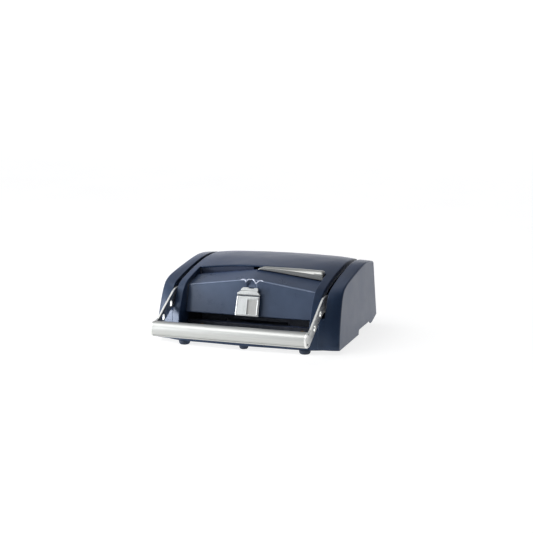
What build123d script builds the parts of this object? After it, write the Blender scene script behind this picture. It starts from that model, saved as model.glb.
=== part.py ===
from build123d import *
import os, math

os.makedirs("parts", exist_ok=True)

# Manual desk press for channel covers. Millimetres, +X to the operator's
# right, +Y to the rear, +Z up. Sections are drawn in a working frame whose
# y = 0 lies at the front of the cheeks; every piece is moved by Y_SHIFT on
# writing, so the origin is on the table under the middle of the machine.

# ---------------------------------------------------------------- dimensions
WIDTH = 442.0            # over the side casings at DRAFT_FROM
HALF = WIDTH / 2
SIDE_DRAFT = 0.0357                    # side walls lean out by this much per mm down
DRAFT_FROM = 150.0                     # height at which the half width is HALF
BAR_FRONT = -125.0       # foremost point of the handle bar
REAR = 351.0             # rearmost point of the casing
Y_SHIFT = -(BAR_FRONT + REAR) / 2
WALL = 2.5               # moulded shells
FLOOR_GAP = 10.0         # casing's lower edge above the table
SLOT_IN, SLOT_OUT = 178.5, 190.0     # arm slots, inner and outer edge
SLOT_END = 80.0          # height of the slots' lower end
OPEN_HALF = 159.0        # half width of the front recess
COVER_EDGE = 117.0       # front edge of the roof over the recess
SKIRT = 14.0             # depth of the lips along the slots

PIVOT_Y, PIVOT_Z = 150.0, 62.0       # handle shaft
SHAFT_R = 8.0
ARM_IN, ARM_OUT = 180.0, 185.0       # arm plates, 5 mm thick
BAR_Y, BAR_Z = -110.0, 55.0          # handle bar centre
ARM_HOLES = [(-15, 95), (-59, 71)]
ARM_HOLE_R = 7.0
HANDLE_TURN = 110.0      # handle travel, degrees
JAW_STROKE = 26.0        # press jaw travel over the handle's turn

FIXED_FACE = -3.0        # working face of the fixed jaw
JAW_FACE = 1.0           # working face of the press jaw, handle down
JAW_TOP = 44.0
ROD_X, ROD_Z, ROD_R = 125.0, 32.0, 5.0
CAM_X, CAM_T = 110.0, 10.0
ROLLER_R = 11.0
ROLLER_Y = 90.0          # roller centre, handle down
RUN = 0.05               # running clearance on radius
GAP = 0.3                # cam to roller

PANEL_X = 157.0
TOOL_OUT = 60.0
SLIDE_UP = 20.0


# ------------------------------------------------------------------- helpers
def out(name, shape):
    s = shape.moved(Location((0, Y_SHIFT, 0)))
    s.label = name
    export_step(s, "parts/%s.step" % name)


def bx(x0, x1, y0, y1, z0, z1):
    return Box(x1 - x0, y1 - y0, z1 - z0).moved(
        Location(((x0 + x1) / 2, (y0 + y1) / 2, (z0 + z1) / 2)))


def cylx(y, z, r, x0, x1):
    return Cylinder(r, x1 - x0).moved(Location(((x0 + x1) / 2, y, z), (0, 90, 0)))


def cyly(x, z, r, y0, y1):
    return Cylinder(r, y1 - y0).moved(Location((x, (y0 + y1) / 2, z), (90, 0, 0)))


def cylz(x, y, r, z0, z1):
    return Cylinder(r, z1 - z0).moved(Location((x, y, (z0 + z1) / 2)))


def plate_x(pts, x0, x1):
    """Closed (y, z) outline drawn at x0 and carried to x1."""
    w = Wire.make_polygon([Vector(x0, y, z) for y, z in pts], close=True)
    return Solid.extrude(Face(w), Vector(x1 - x0, 0, 0))


def plate_y(pts, y0, y1):
    """Closed (x, z) outline drawn at y0 and carried to y1."""
    w = Wire.make_polygon([Vector(x, y0, z) for x, z in pts], close=True)
    return Solid.extrude(Face(w), Vector(0, y1 - y0, 0))


def plate_z(pts, z0, z1):
    w = Wire.make_polygon([Vector(x, y, z0) for x, y in pts], close=True)
    return Solid.extrude(Face(w), Vector(0, 0, z1 - z0))


def fuse(parts):
    r = parts[0]
    for p in parts[1:]:
        r = r + p
    return r


def group(parts):
    return Compound([v for p in parts for v in p.solids()])


def mirror_x(s):
    return s.mirror(Plane.YZ)


def soften(s, edges, r):
    """Fillet the edges if the kernel can, otherwise leave them sharp."""
    try:
        f = s.fillet(r, edges)
        if f.is_valid and f.volume > 0:
            return f
    except Exception:
        pass
    return s


# -------------------------------------------------- casing profiles, (y, z)
# Sixteen stations from the lower front edge over the top to the rear.
STATIONS = {
    0.0: [(-29, 10), (-27.5, 40), (-22, 70), (-12, 94), (-2, 114), (8, 129),
          (22, 144), (38, 154), (60, 162), (86, 168.5), (116, 173.6),
          (150, 176.4), (195, 178.6), (240, 179.4), (285, 178.2), (320, 174.2)],
    80.0: [(-26, 10), (-24.5, 40), (-19, 70), (-9, 94), (0, 113.5), (9, 128),
           (23, 142), (38, 151.5), (60, 159), (86, 165.8), (116, 171.2),
           (150, 174.5), (195, 177.4), (240, 178.6), (285, 177.5), (320, 173.2)],
    159.0: [(-21, 10), (-19.5, 40), (-14, 70), (-4, 94), (5, 112), (13, 124.5),
            (25, 135), (38, 142.3), (62, 149.6), (88, 156), (116, 162.3),
            (150, 168.2), (195, 173.6), (240, 175.6), (285, 174.6), (321, 169.4)],
    178.5: [(-15, 10), (-13.5, 40), (-8, 70), (1.5, 94), (10.5, 112), (18, 124),
            (30, 134), (43, 140.2), (64, 146.4), (91, 153.2), (120, 159.4),
            (152, 165.1), (196, 171.3), (241, 174), (285.5, 172.6), (322, 167)],
    190.0: [(-10, 10), (-8.5, 40), (-3, 70), (6.5, 94), (15.5, 112), (22.5, 124),
            (34, 134), (46.5, 139.6), (67, 145.2), (93, 151.6), (123, 157.9),
            (155, 163.6), (198, 169.9), (242, 172.8), (286, 171.4), (322, 166)],
    205.0: [(-7.5, 10), (-4.2, 40), (2.8, 70), (12, 94), (20.3, 111.5), (27.3, 123.5),
            (37.8, 134.2), (49.4, 140.1), (69.5, 146.1), (96, 152.3), (127.8, 158.4),
            (160.7, 163.6), (201.5, 169.1), (243.8, 172), (286, 170.7), (322, 165.4)],
    221.0: [(-2.5, 10), (3.5, 40), (12.8, 70), (21.6, 94), (29, 111), (35.8, 123),
            (44.5, 134), (54, 140.3), (73, 147), (100, 152.3), (134, 157.6),
            (168, 162.2), (206, 167), (246, 170.4), (286, 169.2), (322, 164.4)],
}
REAR_TOP = (331.5, 153.0)
REAR_LOW = (351.0, 12.0)


def profile(x):
    """Stations at any x: a smooth cubic blend through the drawn sections,
    level across the middle of the machine."""
    x = abs(x)
    ks = sorted(STATIONS)

    def slope(j, i, c):
        if j == 0:
            return 0.0
        if j == len(ks) - 1:
            a, b = ks[j - 1], ks[j]
            return (STATIONS[b][i][c] - STATIONS[a][i][c]) / (b - a)
        a, m, b = ks[j - 1], ks[j], ks[j + 1]
        d0 = (STATIONS[m][i][c] - STATIONS[a][i][c]) / (m - a)
        d1 = (STATIONS[b][i][c] - STATIONS[m][i][c]) / (b - m)
        return (d0 * (b - m) + d1 * (m - a)) / (b - a)

    for j in range(len(ks) - 1):
        a, b = ks[j], ks[j + 1]
        if a <= x <= b:
            h = b - a
            t = (x - a) / h
            h00, h10 = 2 * t ** 3 - 3 * t ** 2 + 1, t ** 3 - 2 * t ** 2 + t
            h01, h11 = -2 * t ** 3 + 3 * t ** 2, t ** 3 - t ** 2
            return [tuple(h00 * STATIONS[a][i][c] + h10 * h * slope(j, i, c) +
                          h01 * STATIONS[b][i][c] + h11 * h * slope(j + 1, i, c)
                          for c in (0, 1)) for i in range(16)]
    return list(STATIONS[ks[-1]])


def closed(x, inset=0.0, drop=0.0):
    """Whole outline at x: front, top, rear corner, rear wall, base line."""
    p = profile(x) + [(328.3, None), REAR_TOP, (341.2, 82.5), REAR_LOW, (351.0, 10.0)]
    top = p[15][1]
    p[16] = (328.6, 0.45 * top + 0.55 * 160.0)
    if inset:
        q = []
        for i, (y, z) in enumerate(p):
            a = p[max(i - 1, 0)]
            b = p[min(i + 1, len(p) - 1)]
            dy, dz = b[0] - a[0], b[1] - a[1]
            n = math.hypot(dy, dz)
            q.append((y + inset * dz / n, z - inset * dy / n))
        p = q
    z0 = 10.0 - drop
    p[0] = (p[0][0], z0)
    p[-1] = (p[-1][0], z0)
    if inset > 5:
        # deep inside, the rear corner closes to a point
        c = (REAR_TOP[0] - inset - 1.0, p[15][1])
        p = p[:15] + [c] + p[18:]
    return p


def section_wire(x, inset=0.0, drop=0.0):
    """Section at x; the outermost ones lean, wider at the foot."""
    k = SIDE_DRAFT if x > 215 else 0.0
    return Wire.make_polygon([Vector(x + k * (DRAFT_FROM - z), y, z) for y, z in closed(x, inset, drop)], close=True)


def body(xs, inset=0.0, drop=0.0):
    return Solid.make_loft([section_wire(x, inset, drop) for x in xs], ruled=True)


# ------------------------------------------------------------- side casings
def side_casing():
    outer = body([SLOT_OUT, 197.5, 205, 213, HALF])
    inner = body([SLOT_OUT + WALL, 197.5, 205, 213, HALF - WALL], inset=WALL, drop=5)
    s = outer - inner
    # the wall beside the slot is only a lip
    lip = closed(SLOT_OUT, inset=SKIRT, drop=5)
    s = s - plate_x(lip, SLOT_OUT - 1, SLOT_OUT + WALL + 0.5)
    # toe under the slot's lower end, reaching in to the cheek
    toe_o = body([SLOT_IN + 0.2, SLOT_OUT]) & bx(170, 200, -40, 42, 5, SLOT_END)
    toe_i = body([SLOT_IN - 2, SLOT_OUT + WALL], inset=WALL, drop=5) & bx(170, 200, -40, 60, 0, SLOT_END - WALL)
    s = s - bx(SLOT_OUT - 1, SLOT_OUT + WALL + 0.5, -60, 38, 0, SLOT_END - WALL)
    s = s + (toe_o - toe_i)
    s = s - bx(SLOT_OUT - 1, SLOT_OUT + WALL + 0.5, -4, 360, 0, 13.2)
    # hand recess under the side and the rising rear edge
    low = [(168, 0), (170, 10), (171, 17), (175, 21), (279, 21), (283, 15),
           (297, 14), (352, 28), (362, 28), (362, 0)]
    s = s - plate_x(low, 188, HALF + 9)
    return s


right_side_casing = side_casing()
out("right_side_casing", right_side_casing)
out("left_side_casing", mirror_x(right_side_casing))

# ------------------------------------------------------------- centre cover
XS = [-178.5, -159, -120, -80, -40, 0, 40, 80, 120, 159, 178.5]
XI = [-176.0, -159, -120, -80, -40, 0, 40, 80, 120, 159, 176.0]
solid_cover = body(XS)
shell = solid_cover - body(XI, inset=WALL, drop=5)
shell = shell - bx(-OPEN_HALF, OPEN_HALF, -60, COVER_EDGE, 0, 230)
walls = solid_cover & (bx(OPEN_HALF, OPEN_HALF + WALL, -60, COVER_EDGE + 2, 13.2, 230)
                       + bx(-OPEN_HALF - WALL, -OPEN_HALF, -60, COVER_EDGE + 2, 13.2, 230))
centre_cover = shell + walls
lip = closed(SLOT_IN, inset=SKIRT, drop=5)
centre_cover = centre_cover - plate_x(lip, 175.5, 179.5) - plate_x(lip, -179.5, -175.5)
centre_cover = centre_cover - bx(175, 180, -9.5, 360, 0, 13.2) - bx(-180, -175, -9.5, 360, 0, 13.2)
# the guide bar passes under the recess's side walls
centre_cover = centre_cover - bx(-165, 165, 38, 130, 0, 62)
# access opening in the back, closed by its own cover
back = bx(-150.4, 150.4, 300, 370, 21.6, 140.4)
centre_cover = centre_cover - back
out("centre_cover", centre_cover)
rear_cover = shell & bx(-150, 150, 300, 370, 22, 140)
for i in range(9):
    zc = 50 + i * 8
    rear_cover = rear_cover - bx(-60, 60, 300, 370, zc, zc + 3)
out("rear_cover", rear_cover)
tilt = math.degrees(math.atan2(REAR_LOW[0] - REAR_TOP[0], REAR_TOP[1] - REAR_LOW[1]))
screws = []
for sx in (-138, 138):
    for z in (34, 128):
        yw = REAR_TOP[0] + (REAR_TOP[1] - z) / (REAR_TOP[1] - REAR_LOW[1]) * (REAR_LOW[0] - REAR_TOP[0])
        c = Cylinder(3.6, 1.6).moved(Location((sx, yw + 1.3, z), (90 + tilt, 0, 0)))
        screws.append(c)
out("rear_cover_screws", group(screws))

# -------------------------------------------------------------- front panel
R_SIDE, R_MID = (41.0, 133.0), (44.0, 153.0)
T_SIDE, T_MID = (100.0, 147.0), (105.0, 165.5)
B_LOW = (18.0, 70.0)


def panel_wire(x):
    t = abs(x) / PANEL_X
    r = (R_MID[0] + (R_SIDE[0] - R_MID[0]) * t, R_MID[1] + (R_SIDE[1] - R_MID[1]) * t)
    k = (T_MID[0] + (T_SIDE[0] - T_MID[0]) * t, T_MID[1] + (T_SIDE[1] - T_MID[1]) * t)
    b = B_LOW
    pts = [b, (r[0] - 0.9, r[1] - 3.2), (r[0] + 0.6, r[1] - 0.7), (r[0] + 3.6, r[1] + 0.6), k,
           (k[0] + 1.2, k[1] - 1.0), (k[0] + 0.9, k[1] - 12.0), (k[0] - 1.5, k[1] - 12.0),
           (k[0] - 2.0, k[1] - 3.1), (r[0] + 4.2, r[1] - 2.2), (r[0] + 2.4, r[1] - 3.4),
           (b[0] + 3.4, b[1] + 2.6), (b[0] + 14.0, b[1] + 2.4), (b[0] + 14.0, b[1])]
    return Wire.make_polygon([Vector(x, y, z) for y, z in pts], close=True)


front_panel = Solid.make_loft([panel_wire(-PANEL_X), panel_wire(0)], ruled=True) + \
    Solid.make_loft([panel_wire(0), panel_wire(PANEL_X)], ruled=True)
SY, SZ = R_MID[0] - B_LOW[0], R_MID[1] - B_LOW[1]
SL = math.hypot(SY, SZ)
SY, SZ = SY / SL, SZ / SL          # up the panel


def on_panel(x0, x1, s0, s1, n0, n1):
    """Block in the panel's own axes: s up the slope, n out of its face."""
    pts = []
    for s, n in ((s0, n0), (s1, n0), (s1, n1), (s0, n1)):
        pts.append((B_LOW[0] + s * SY - n * SZ, B_LOW[1] + s * SZ + n * SY))
    return plate_x(pts, x0, x1)


def n_cyl(x, s, r, n0, n1):
    c = Cylinder(r, n1 - n0)
    a = math.degrees(math.atan2(SY, SZ))
    n = (n0 + n1) / 2
    return c.moved(Location((x, B_LOW[0] + s * SY - n * SZ, B_LOW[1] + s * SZ + n * SY), (90 - a, 0, 0)))


front_panel = front_panel - on_panel(-9, 9, 26, 66, -12, 5)
# notch with rounded lobes where the track breaks through the ridge
notch = on_panel(-11, 11, 77, 96, -12, 6) + n_cyl(-15, 88, 7.0, -12, 8) + n_cyl(15, 88, 7.0, -12, 8)
front_panel = front_panel - notch
out("front_panel", front_panel)

# -------------------------------------------------------------- centre slide
slide_body = on_panel(-28.5, 28.5, -0.8, 45.8, 0.5, 12.5)
slide_body = soften(slide_body, [e for e in slide_body.edges() if e.length > 30], 1.6)
slide_body = slide_body - on_panel(0, 23.5, 3.5, 38, 11.9, 20)
slide_cap = on_panel(-28.5, 28.5, 47.4, 58, 0.5, 14)
slide_cap = soften(slide_cap, [e for e in slide_cap.edges() if abs(e.length - 13.5) > 1], 3.0)
neck = on_panel(-24, 24, 45.8, 47.4, 0.8, 10.5)
slide_collar = on_panel(-21, 21, 58, 66, 0.5, 10.5)
slide_collar = soften(slide_collar, [e for e in slide_collar.edges() if e.length > 20], 1.8)
slide_carrier = on_panel(-8, 8, 30, 44, -4.0, 0.5) + on_panel(-18, 18, 27, 47, -7.0, -4.0)
out("slide_body", slide_body)
out("slide_cap", slide_cap + neck)
out("slide_collar", slide_collar)
out("slide_carrier", slide_carrier)


# ------------------------------------------------- debinding tool and pocket
def facet_top(x):
    t = min(abs(x) / PANEL_X, 1.0)
    return T_MID[1] + (T_SIDE[1] - T_MID[1]) * t


head = [(0, facet_top(0) + 0.8), (-7, facet_top(-7) + 0.8), (3, 171.3), (10, 172.8), (60, 172.6), (110, 171.3), (148, 169.4),
        (154, 168.2), (156, 165.4), (156, facet_top(156) + 1.2), (110, facet_top(110) + 1.5),
        (60, facet_top(60) + 1.4), (10, facet_top(10) + 0.7)]
tool = plate_y(head, 97.5, COVER_EDGE - 0.6)
tool = soften(tool, [e for e in tool.edges() if e.center().Y < 98 and e.center().Z > 168 and e.length > 20], 3.0)
blade = [(14, facet_top(14) + 1.2), (148, facet_top(148) + 2.0), (148, facet_top(148) + 6.0), (14, facet_top(14) + 4.2)]
tool = tool + plate_y(blade, COVER_EDGE - 0.8, 166)
out("debinding_tool", tool)

tray = []
for s in (-1, 1):
    tray.append(plate_y([(0, facet_top(0) - 3.0), (s * 157, facet_top(157) - 3.0),
                         (s * 157, facet_top(157) - 1.0), (0, facet_top(0) - 1.0)], 106.4, 172))
storage_tray = tray[0] + tray[1]
storage_tray = storage_tray + plate_y([(-157, facet_top(157) - 1.0), (0, facet_top(0) - 1.0), (157, facet_top(157) - 1.0),
                                       (157, 164.5), (80, 171.0), (0, 173.6), (-80, 171.0), (-157, 164.5)], 170, 172)
storage_tray = storage_tray + plate_y([(-157, facet_top(157) - 1.0), (-22, facet_top(22) - 1.0), (-22, 169.6), (-80, 166.8), (-157, 158.4)],
                                      119.5, 121.5)
storage_tray = storage_tray + plate_y([(-24, facet_top(24) - 1.0), (-22, facet_top(22) - 1.0), (-22, 169.8), (-24, 169.8)], 121.5, 170)
out("storage_tray", storage_tray)

# --------------------------------------------------------------- base apron
def apron_wire(x):
    yb = profile(x)[0][0]
    pts = [(yb, 10), (yb + 1.2, 40), (yb + 2.2, 44.5), (yb + 4.6, 47), (FIXED_FACE - 0.6, 47),
           (FIXED_FACE - 0.6, 44.4), (yb + 5.2, 44.4), (yb + 3.8, 40), (yb + 3.0, 10)]
    return Wire.make_polygon([Vector(x, y, z) for y, z in pts], close=True)


XA = [-158.6, -120, -80, -40, 0, 40, 80, 120, 158.6]
base_apron = Solid.make_loft([apron_wire(x) for x in XA], ruled=True)
out("base_apron", base_apron)

# ----------------------------------------------------------- base and frames
half = [(0, -15.4), (155, -15.4), (175, -9.4), (190, -4), (205, 7), (216.5, 19.5),
        (216.5, 165), (196, 168), (196, 346), (0, 346)]
outline = half + [(-x, y) for x, y in reversed(half[1:-1])]
base_plate = plate_z(outline, 10, 13)
frame_pts = [(-9, 13), (300, 13), (300, 52), (214, 96), (190, 104), (112, 104), (60, 62), (-9, 46)]
right_side_frame = plate_x(frame_pts, 168, 172) + bx(162.6, 168, 0, 38, 13, 16) + bx(162.6, 168, 62, 290, 13, 16)
right_side_frame = right_side_frame - cylx(PIVOT_Y, PIVOT_Z, 12, 160, 180) - cylx(235, 45, 14, 160, 180)
guide_bar = bx(-168, 168, 42, 56, 18, 46)
rear_cross_bar = bx(-168, 168, 270, 285, 28, 44)
# bolts through the frames into the bars' ends
bolt_at = [(49, 25), (49, 39), (277.5, 36)]
bolts = []
for y, z in bolt_at:
    b = cylx(y, z, 4.2, 172, 175) + cylx(y, z, 2.5, 152, 172)
    b = b - cylx(y, z, 1.9, 173.4, 176)
    bolts += [b, mirror_x(b)]
    hole = cylx(y, z, 2.5, 150, 173) + cylx(y, z, 2.5, -173, -150)
    right_side_frame = right_side_frame - hole
    guide_bar = guide_bar - hole
    rear_cross_bar = rear_cross_bar - hole
base_screw_at = [(165.3, 20), (165.3, 110), (165.3, 250)]
base_screws = []
for x, y in base_screw_at:
    for s in (-1, 1):
        base_screws.append(cylz(s * x, y, 3.6, 8.4, 10) + cylz(s * x, y, 1.8, 10, 16))
        base_plate = base_plate - cylz(s * x, y, 1.8, 9, 14)
    right_side_frame = right_side_frame - cylz(x, y, 1.8, 12, 17)

# bushes that carry the handle shaft
bush = cylx(PIVOT_Y, PIVOT_Z, 12, 168, 172) + cylx(PIVOT_Y, PIVOT_Z, 14.5, 165.4, 168)
bush = bush - cylx(PIVOT_Y, PIVOT_Z, SHAFT_R + RUN, 160, 180)
out("shaft_bushes", group([bush, mirror_x(bush)]))

# fixed jaw, spine rest
fixed_jaw = bx(-156, 156, -15, FIXED_FACE, 13, JAW_TOP)
jaw_screws = []
for x in (-126, -60, 60, 126):
    jaw_screws.append(cylz(x, -9, 3.8, 8, 10) + cylz(x, -9, 2.5, 10, 32))
    fixed_jaw = fixed_jaw - cylz(x, -9, 2.5, 12, 32)
    base_plate = base_plate - cylz(x, -9, 2.5, 9, 14)
spine_rest = bx(-155, 155, FIXED_FACE, 27, 13, 15)
for i in range(5):
    spine_rest = spine_rest - bx(-153, 153, 1.5 + 5 * i, 2.5 + 5 * i, 14.2, 16)
out("fixed_jaw", fixed_jaw)
out("jaw_screws", group(jaw_screws))
out("spine_rest", spine_rest)

# ------------------------------------------------------------------- feet
feet_at = {"front_feet": [(-148, -12, 13.5), (148, -12, 13.5)], "centre_foot": [(0, -11, 11)],
           "rear_feet": [(-150, 300, 15.5), (150, 300, 15.5)]}
foot_screws = []
for name, lst in feet_at.items():
    fs = []
    for x, y, r in lst:
        f = Solid.make_cone(r - 2.2, r - 0.6, 2.0, Plane((x, y, 0))) + \
            Solid.make_cone(r - 0.6, r, 8.0, Plane((x, y, 2)))
        f = f - cylz(x, y, 5, -1, 5) - cylz(x, y, 2, 4, 11)
        fs.append(f)
        foot_screws.append(cylz(x, y, 4.2, 5 - 1.8, 5) + cylz(x, y, 2, 5, 13))
        base_plate = base_plate - cylz(x, y, 2, 9, 14)
    out(name, group(fs))
out("foot_screws", group(foot_screws))
out("base_plate", base_plate)
out("right_side_frame", right_side_frame)
out("left_side_frame", mirror_x(right_side_frame))
out("rear_cross_bar", rear_cross_bar)
out("frame_bolts", group(bolts))
out("base_screws", group(base_screws))

# ---------------------------------------------------------- guides and jaw
for s in (-1, 1):
    guide_bar = guide_bar - cyly(s * ROD_X, ROD_Z, 8, 40, 60)
out("guide_bar", guide_bar)
gb = []
for s in (-1, 1):
    b = cyly(s * ROD_X, ROD_Z, 8, 42, 56) - cyly(s * ROD_X, ROD_Z, ROD_R + RUN, 40, 60)
    gb.append(b)
out("guide_bushes", group(gb))

press_jaw = bx(-155, 155, JAW_FACE, 13, 16.2, JAW_TOP)
press_jaw = soften(press_jaw, [e for e in press_jaw.edges() if abs(e.center().Y - JAW_FACE) < 0.1
                               and abs(e.center().Z - JAW_TOP) < 0.1], 2.0)
out("press_jaw", press_jaw)
out("guide_rods", group([cyly(s * ROD_X, ROD_Z, ROD_R, 13, 78) for s in (-1, 1)]))
yoke = bx(-140, 140, 78, 86, 20, 56) + bx(-124, -96, 78, 86, 56, 74) + bx(96, 124, 78, 86, 56, 74)
yoke = yoke - bx(-80, 80, 77, 87, 28, 48)
pins = []
for s in (-1, 1):
    for a, b in ((101.6, 104.4), (115.6, 118.4)):
        x0, x1 = sorted((s * a, s * b))
        ear = plate_x([(86, 52), (93, 52), (96.5, 56), (96.5, 68), (93, 72), (86, 72)], x0, x1)
        yoke = yoke + ear
    yoke = yoke - cylx(ROLLER_Y, PIVOT_Z, 3, min(s * 100, s * 120), max(s * 100, s * 120))
    # pocket so that the roller clears the yoke plate
    yoke = yoke - cylx(ROLLER_Y, PIVOT_Z, ROLLER_R + 1.0, min(s * 104.4, s * 115.6), max(s * 104.4, s * 115.6))
    pins.append(cylx(ROLLER_Y, PIVOT_Z, 3, min(s * 101.6, s * 118.4), max(s * 101.6, s * 118.4)))
    rol = cylx(ROLLER_Y, PIVOT_Z, ROLLER_R, min(s * 105, s * 115), max(s * 105, s * 115)) - \
        cylx(ROLLER_Y, PIVOT_Z, 3 + RUN, min(s * 104, s * 116), max(s * 104, s * 116))
    out("left_roller" if s < 0 else "right_roller", rol)
out("yoke", yoke)
out("roller_pins", group(pins))

# return springs round the rods between guide bar and yoke
springs = []
for s in (-1, 1):
    hx = Helix(pitch=4.6, height=18.4, radius=7.2).moved(Location((s * ROD_X, 57.8, ROD_Z), (-90, 0, 0)))
    w = Wire([hx]) if not isinstance(hx, Wire) else hx
    prof = Plane(origin=hx @ 0, z_dir=hx % 0) * Circle(1.2)
    springs.append(sweep(prof, path=hx))
out("return_springs", group([sp.solids()[0] for sp in springs]))

# ------------------------------------------------------------ handle group
def cam():
    """Disc whose edge falls evenly from 60 to 34 mm pitch radius over the
    handle's turn, less the roller radius and the clearance."""
    r0, r1 = PIVOT_Y - ROLLER_Y, PIVOT_Y - ROLLER_Y - JAW_STROKE
    off = ROLLER_R + GAP

    def pitch(a):
        return r0 - (r0 - r1) * (a - 180.0) / HANDLE_TURN

    pts = []
    a = 176.0
    while a <= 296.01:
        r = pitch(a)
        dr = -(r0 - r1) / math.radians(HANDLE_TURN)
        t = math.radians(a)
        # inward normal of the polar curve
        ny, nz = dr * math.sin(t) + r * math.cos(t), -(dr * math.cos(t) - r * math.sin(t))
        n = math.hypot(ny, nz)
        pts.append((PIVOT_Y + r * math.cos(t) - off * ny / n, PIVOT_Z + r * math.sin(t) - off * nz / n))
        a += 4.0
    for a in (312, 330, 0, 30, 60, 90, 120, 140):
        t = math.radians(a)
        pts.append((PIVOT_Y + 19 * math.cos(t), PIVOT_Z + 19 * math.sin(t)))
    pts.append((PIVOT_Y - 38, PIVOT_Z + 22))
    return pts


cams = {}
for s, nm in ((-1, "left_cam"), (1, "right_cam")):
    x0, x1 = sorted((s * (CAM_X - CAM_T / 2), s * (CAM_X + CAM_T / 2)))
    c = plate_x(cam(), x0, x1)
    h0, h1 = sorted((s * (CAM_X - CAM_T / 2 - 6), s * (CAM_X + CAM_T / 2 + 6)))
    c = c + cylx(PIVOT_Y, PIVOT_Z, 14, h0, h1)
    c = c - cylx(PIVOT_Y, PIVOT_Z, SHAFT_R, -200, 200)
    out(nm, c)

handle_shaft = cylx(PIVOT_Y, PIVOT_Z, SHAFT_R, -187.4, 187.4)
out("handle_shaft", handle_shaft)
collar = cylx(PIVOT_Y, PIVOT_Z, 12, 172.4, ARM_IN) - cylx(PIVOT_Y, PIVOT_Z, SHAFT_R, 170, 190)
out("hub_collars", group([collar, mirror_x(collar)]))
ring = cylx(PIVOT_Y, PIVOT_Z, 11, ARM_OUT, 186.4) - cylx(PIVOT_Y, PIVOT_Z, SHAFT_R, 180, 195)
out("retaining_rings", group([ring, mirror_x(ring)]))

# handle bar: hollow drawn section, rounded front, fine groove near its foot
def bar_outline(k=0.0):
    pts = [(-96, 70), (-104, 72), (-111, 71.4), (-117, 68.8), (-121.8, 64.2), (-124.4, 58.6),
           (-125, 53), (-123.6, 47.4), (-120.9, 43.2)]
    if not k:
        pts += [(-119.3, 43.0), (-120.2, 41.6)]
    pts += [(-117, 39.2), (-112, 38), (-104, 38), (-98, 39.4), (-95, 42.5), (-95, 67.5)]
    cy, cz = -110.0, 55.0
    if k:
        f = 1 - k / 16.0
        pts = [(cy + (y - cy) * f, cz + (z - cz) * f) for y, z in pts]
    return pts


handle_bar = plate_x(bar_outline(), -ARM_IN, ARM_IN) - plate_x(bar_outline(3.0), -ARM_IN - 1, ARM_IN + 1)
ports = [(-104, 65.6), (-113.0, 44.4)]
for y, z in ports:
    port = cylx(y, z, 4.4, -ARM_IN, ARM_IN) & plate_x(bar_outline(0.8), -ARM_IN, ARM_IN)
    handle_bar = handle_bar + port
for y, z in ports:
    handle_bar = handle_bar - cylx(y, z, 2, -ARM_IN - 1, ARM_IN + 1)
out("handle_bar", handle_bar)

arm_top = [(-104, 72), (-98, 70.4), (-85, 73.4), (-46, 95.6), (-20, 109.8), (2, 121.8), (14, 126), (30, 127.6), (44, 128)]
arm_in = [(76, 117), (124, 92), (158, 77), (165, 69), (166, 60), (161, 50), (150, 45), (139, 50),
          (120, 60), (84, 76), (48, 91), (14, 91.5), (-4, 86)]
arm_low = [(-19, 78.6), (-45, 65.4), (-70, 52.8), (-96, 39.4), (-100, 38.4)]
arm_end = [(-112, 38), (-117, 39.2), (-120.9, 43.2), (-123.6, 47.4), (-125, 53), (-124.4, 58.6),
           (-121.8, 64.2), (-117, 68.8), (-111, 71.4)]
right_arm = plate_x(arm_top + arm_in + arm_low + arm_end, ARM_IN, ARM_OUT)
for y, z in ARM_HOLES:
    right_arm = right_arm - cylx(y, z, ARM_HOLE_R, 170, 200)
right_arm = right_arm - cylx(PIVOT_Y, PIVOT_Z, SHAFT_R, 170, 200)
for y, z in ports:
    right_arm = right_arm - cylx(y, z, 2, 170, 200)
out("right_arm", right_arm)
out("left_arm", mirror_x(right_arm))
hs = []
for y, z in ports:
    h = cylx(y, z, 4.2, ARM_OUT, ARM_OUT + 2.2) + cylx(y, z, 2, 164, ARM_OUT)
    h = h - cylx(y, z, 1.6, ARM_OUT + 1.0, ARM_OUT + 3)
    hs += [h, mirror_x(h)]
out("handle_screws", group(hs))
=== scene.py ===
import bpy
import bmesh
import math
import numpy as np
from mathutils import Vector, Matrix


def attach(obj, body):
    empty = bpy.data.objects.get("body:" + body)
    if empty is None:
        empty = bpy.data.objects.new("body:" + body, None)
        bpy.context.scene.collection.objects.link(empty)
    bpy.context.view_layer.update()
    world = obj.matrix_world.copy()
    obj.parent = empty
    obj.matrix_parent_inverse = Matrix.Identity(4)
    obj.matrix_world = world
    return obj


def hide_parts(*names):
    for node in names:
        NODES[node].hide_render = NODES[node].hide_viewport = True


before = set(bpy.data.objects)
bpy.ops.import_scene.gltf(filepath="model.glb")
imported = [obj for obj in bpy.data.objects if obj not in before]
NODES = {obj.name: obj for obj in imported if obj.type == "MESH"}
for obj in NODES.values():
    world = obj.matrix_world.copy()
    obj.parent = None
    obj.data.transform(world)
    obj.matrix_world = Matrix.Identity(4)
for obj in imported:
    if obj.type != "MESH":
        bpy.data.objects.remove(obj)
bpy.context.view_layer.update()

Y0 = -113.0                       # working frame (mm) to row frame


def M(x, y, z):
    """Working-frame millimetres to row-frame metres."""
    return Vector((x * 0.001, (y + Y0) * 0.001, z * 0.001))


# =========================================================== materials
def rgb(r, g, b):
    def c(v):
        v /= 255.0
        return v / 12.92 if v <= 0.04045 else ((v + 0.055) / 1.055) ** 2.4
    return (c(r), c(g), c(b), 1.0)


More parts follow.
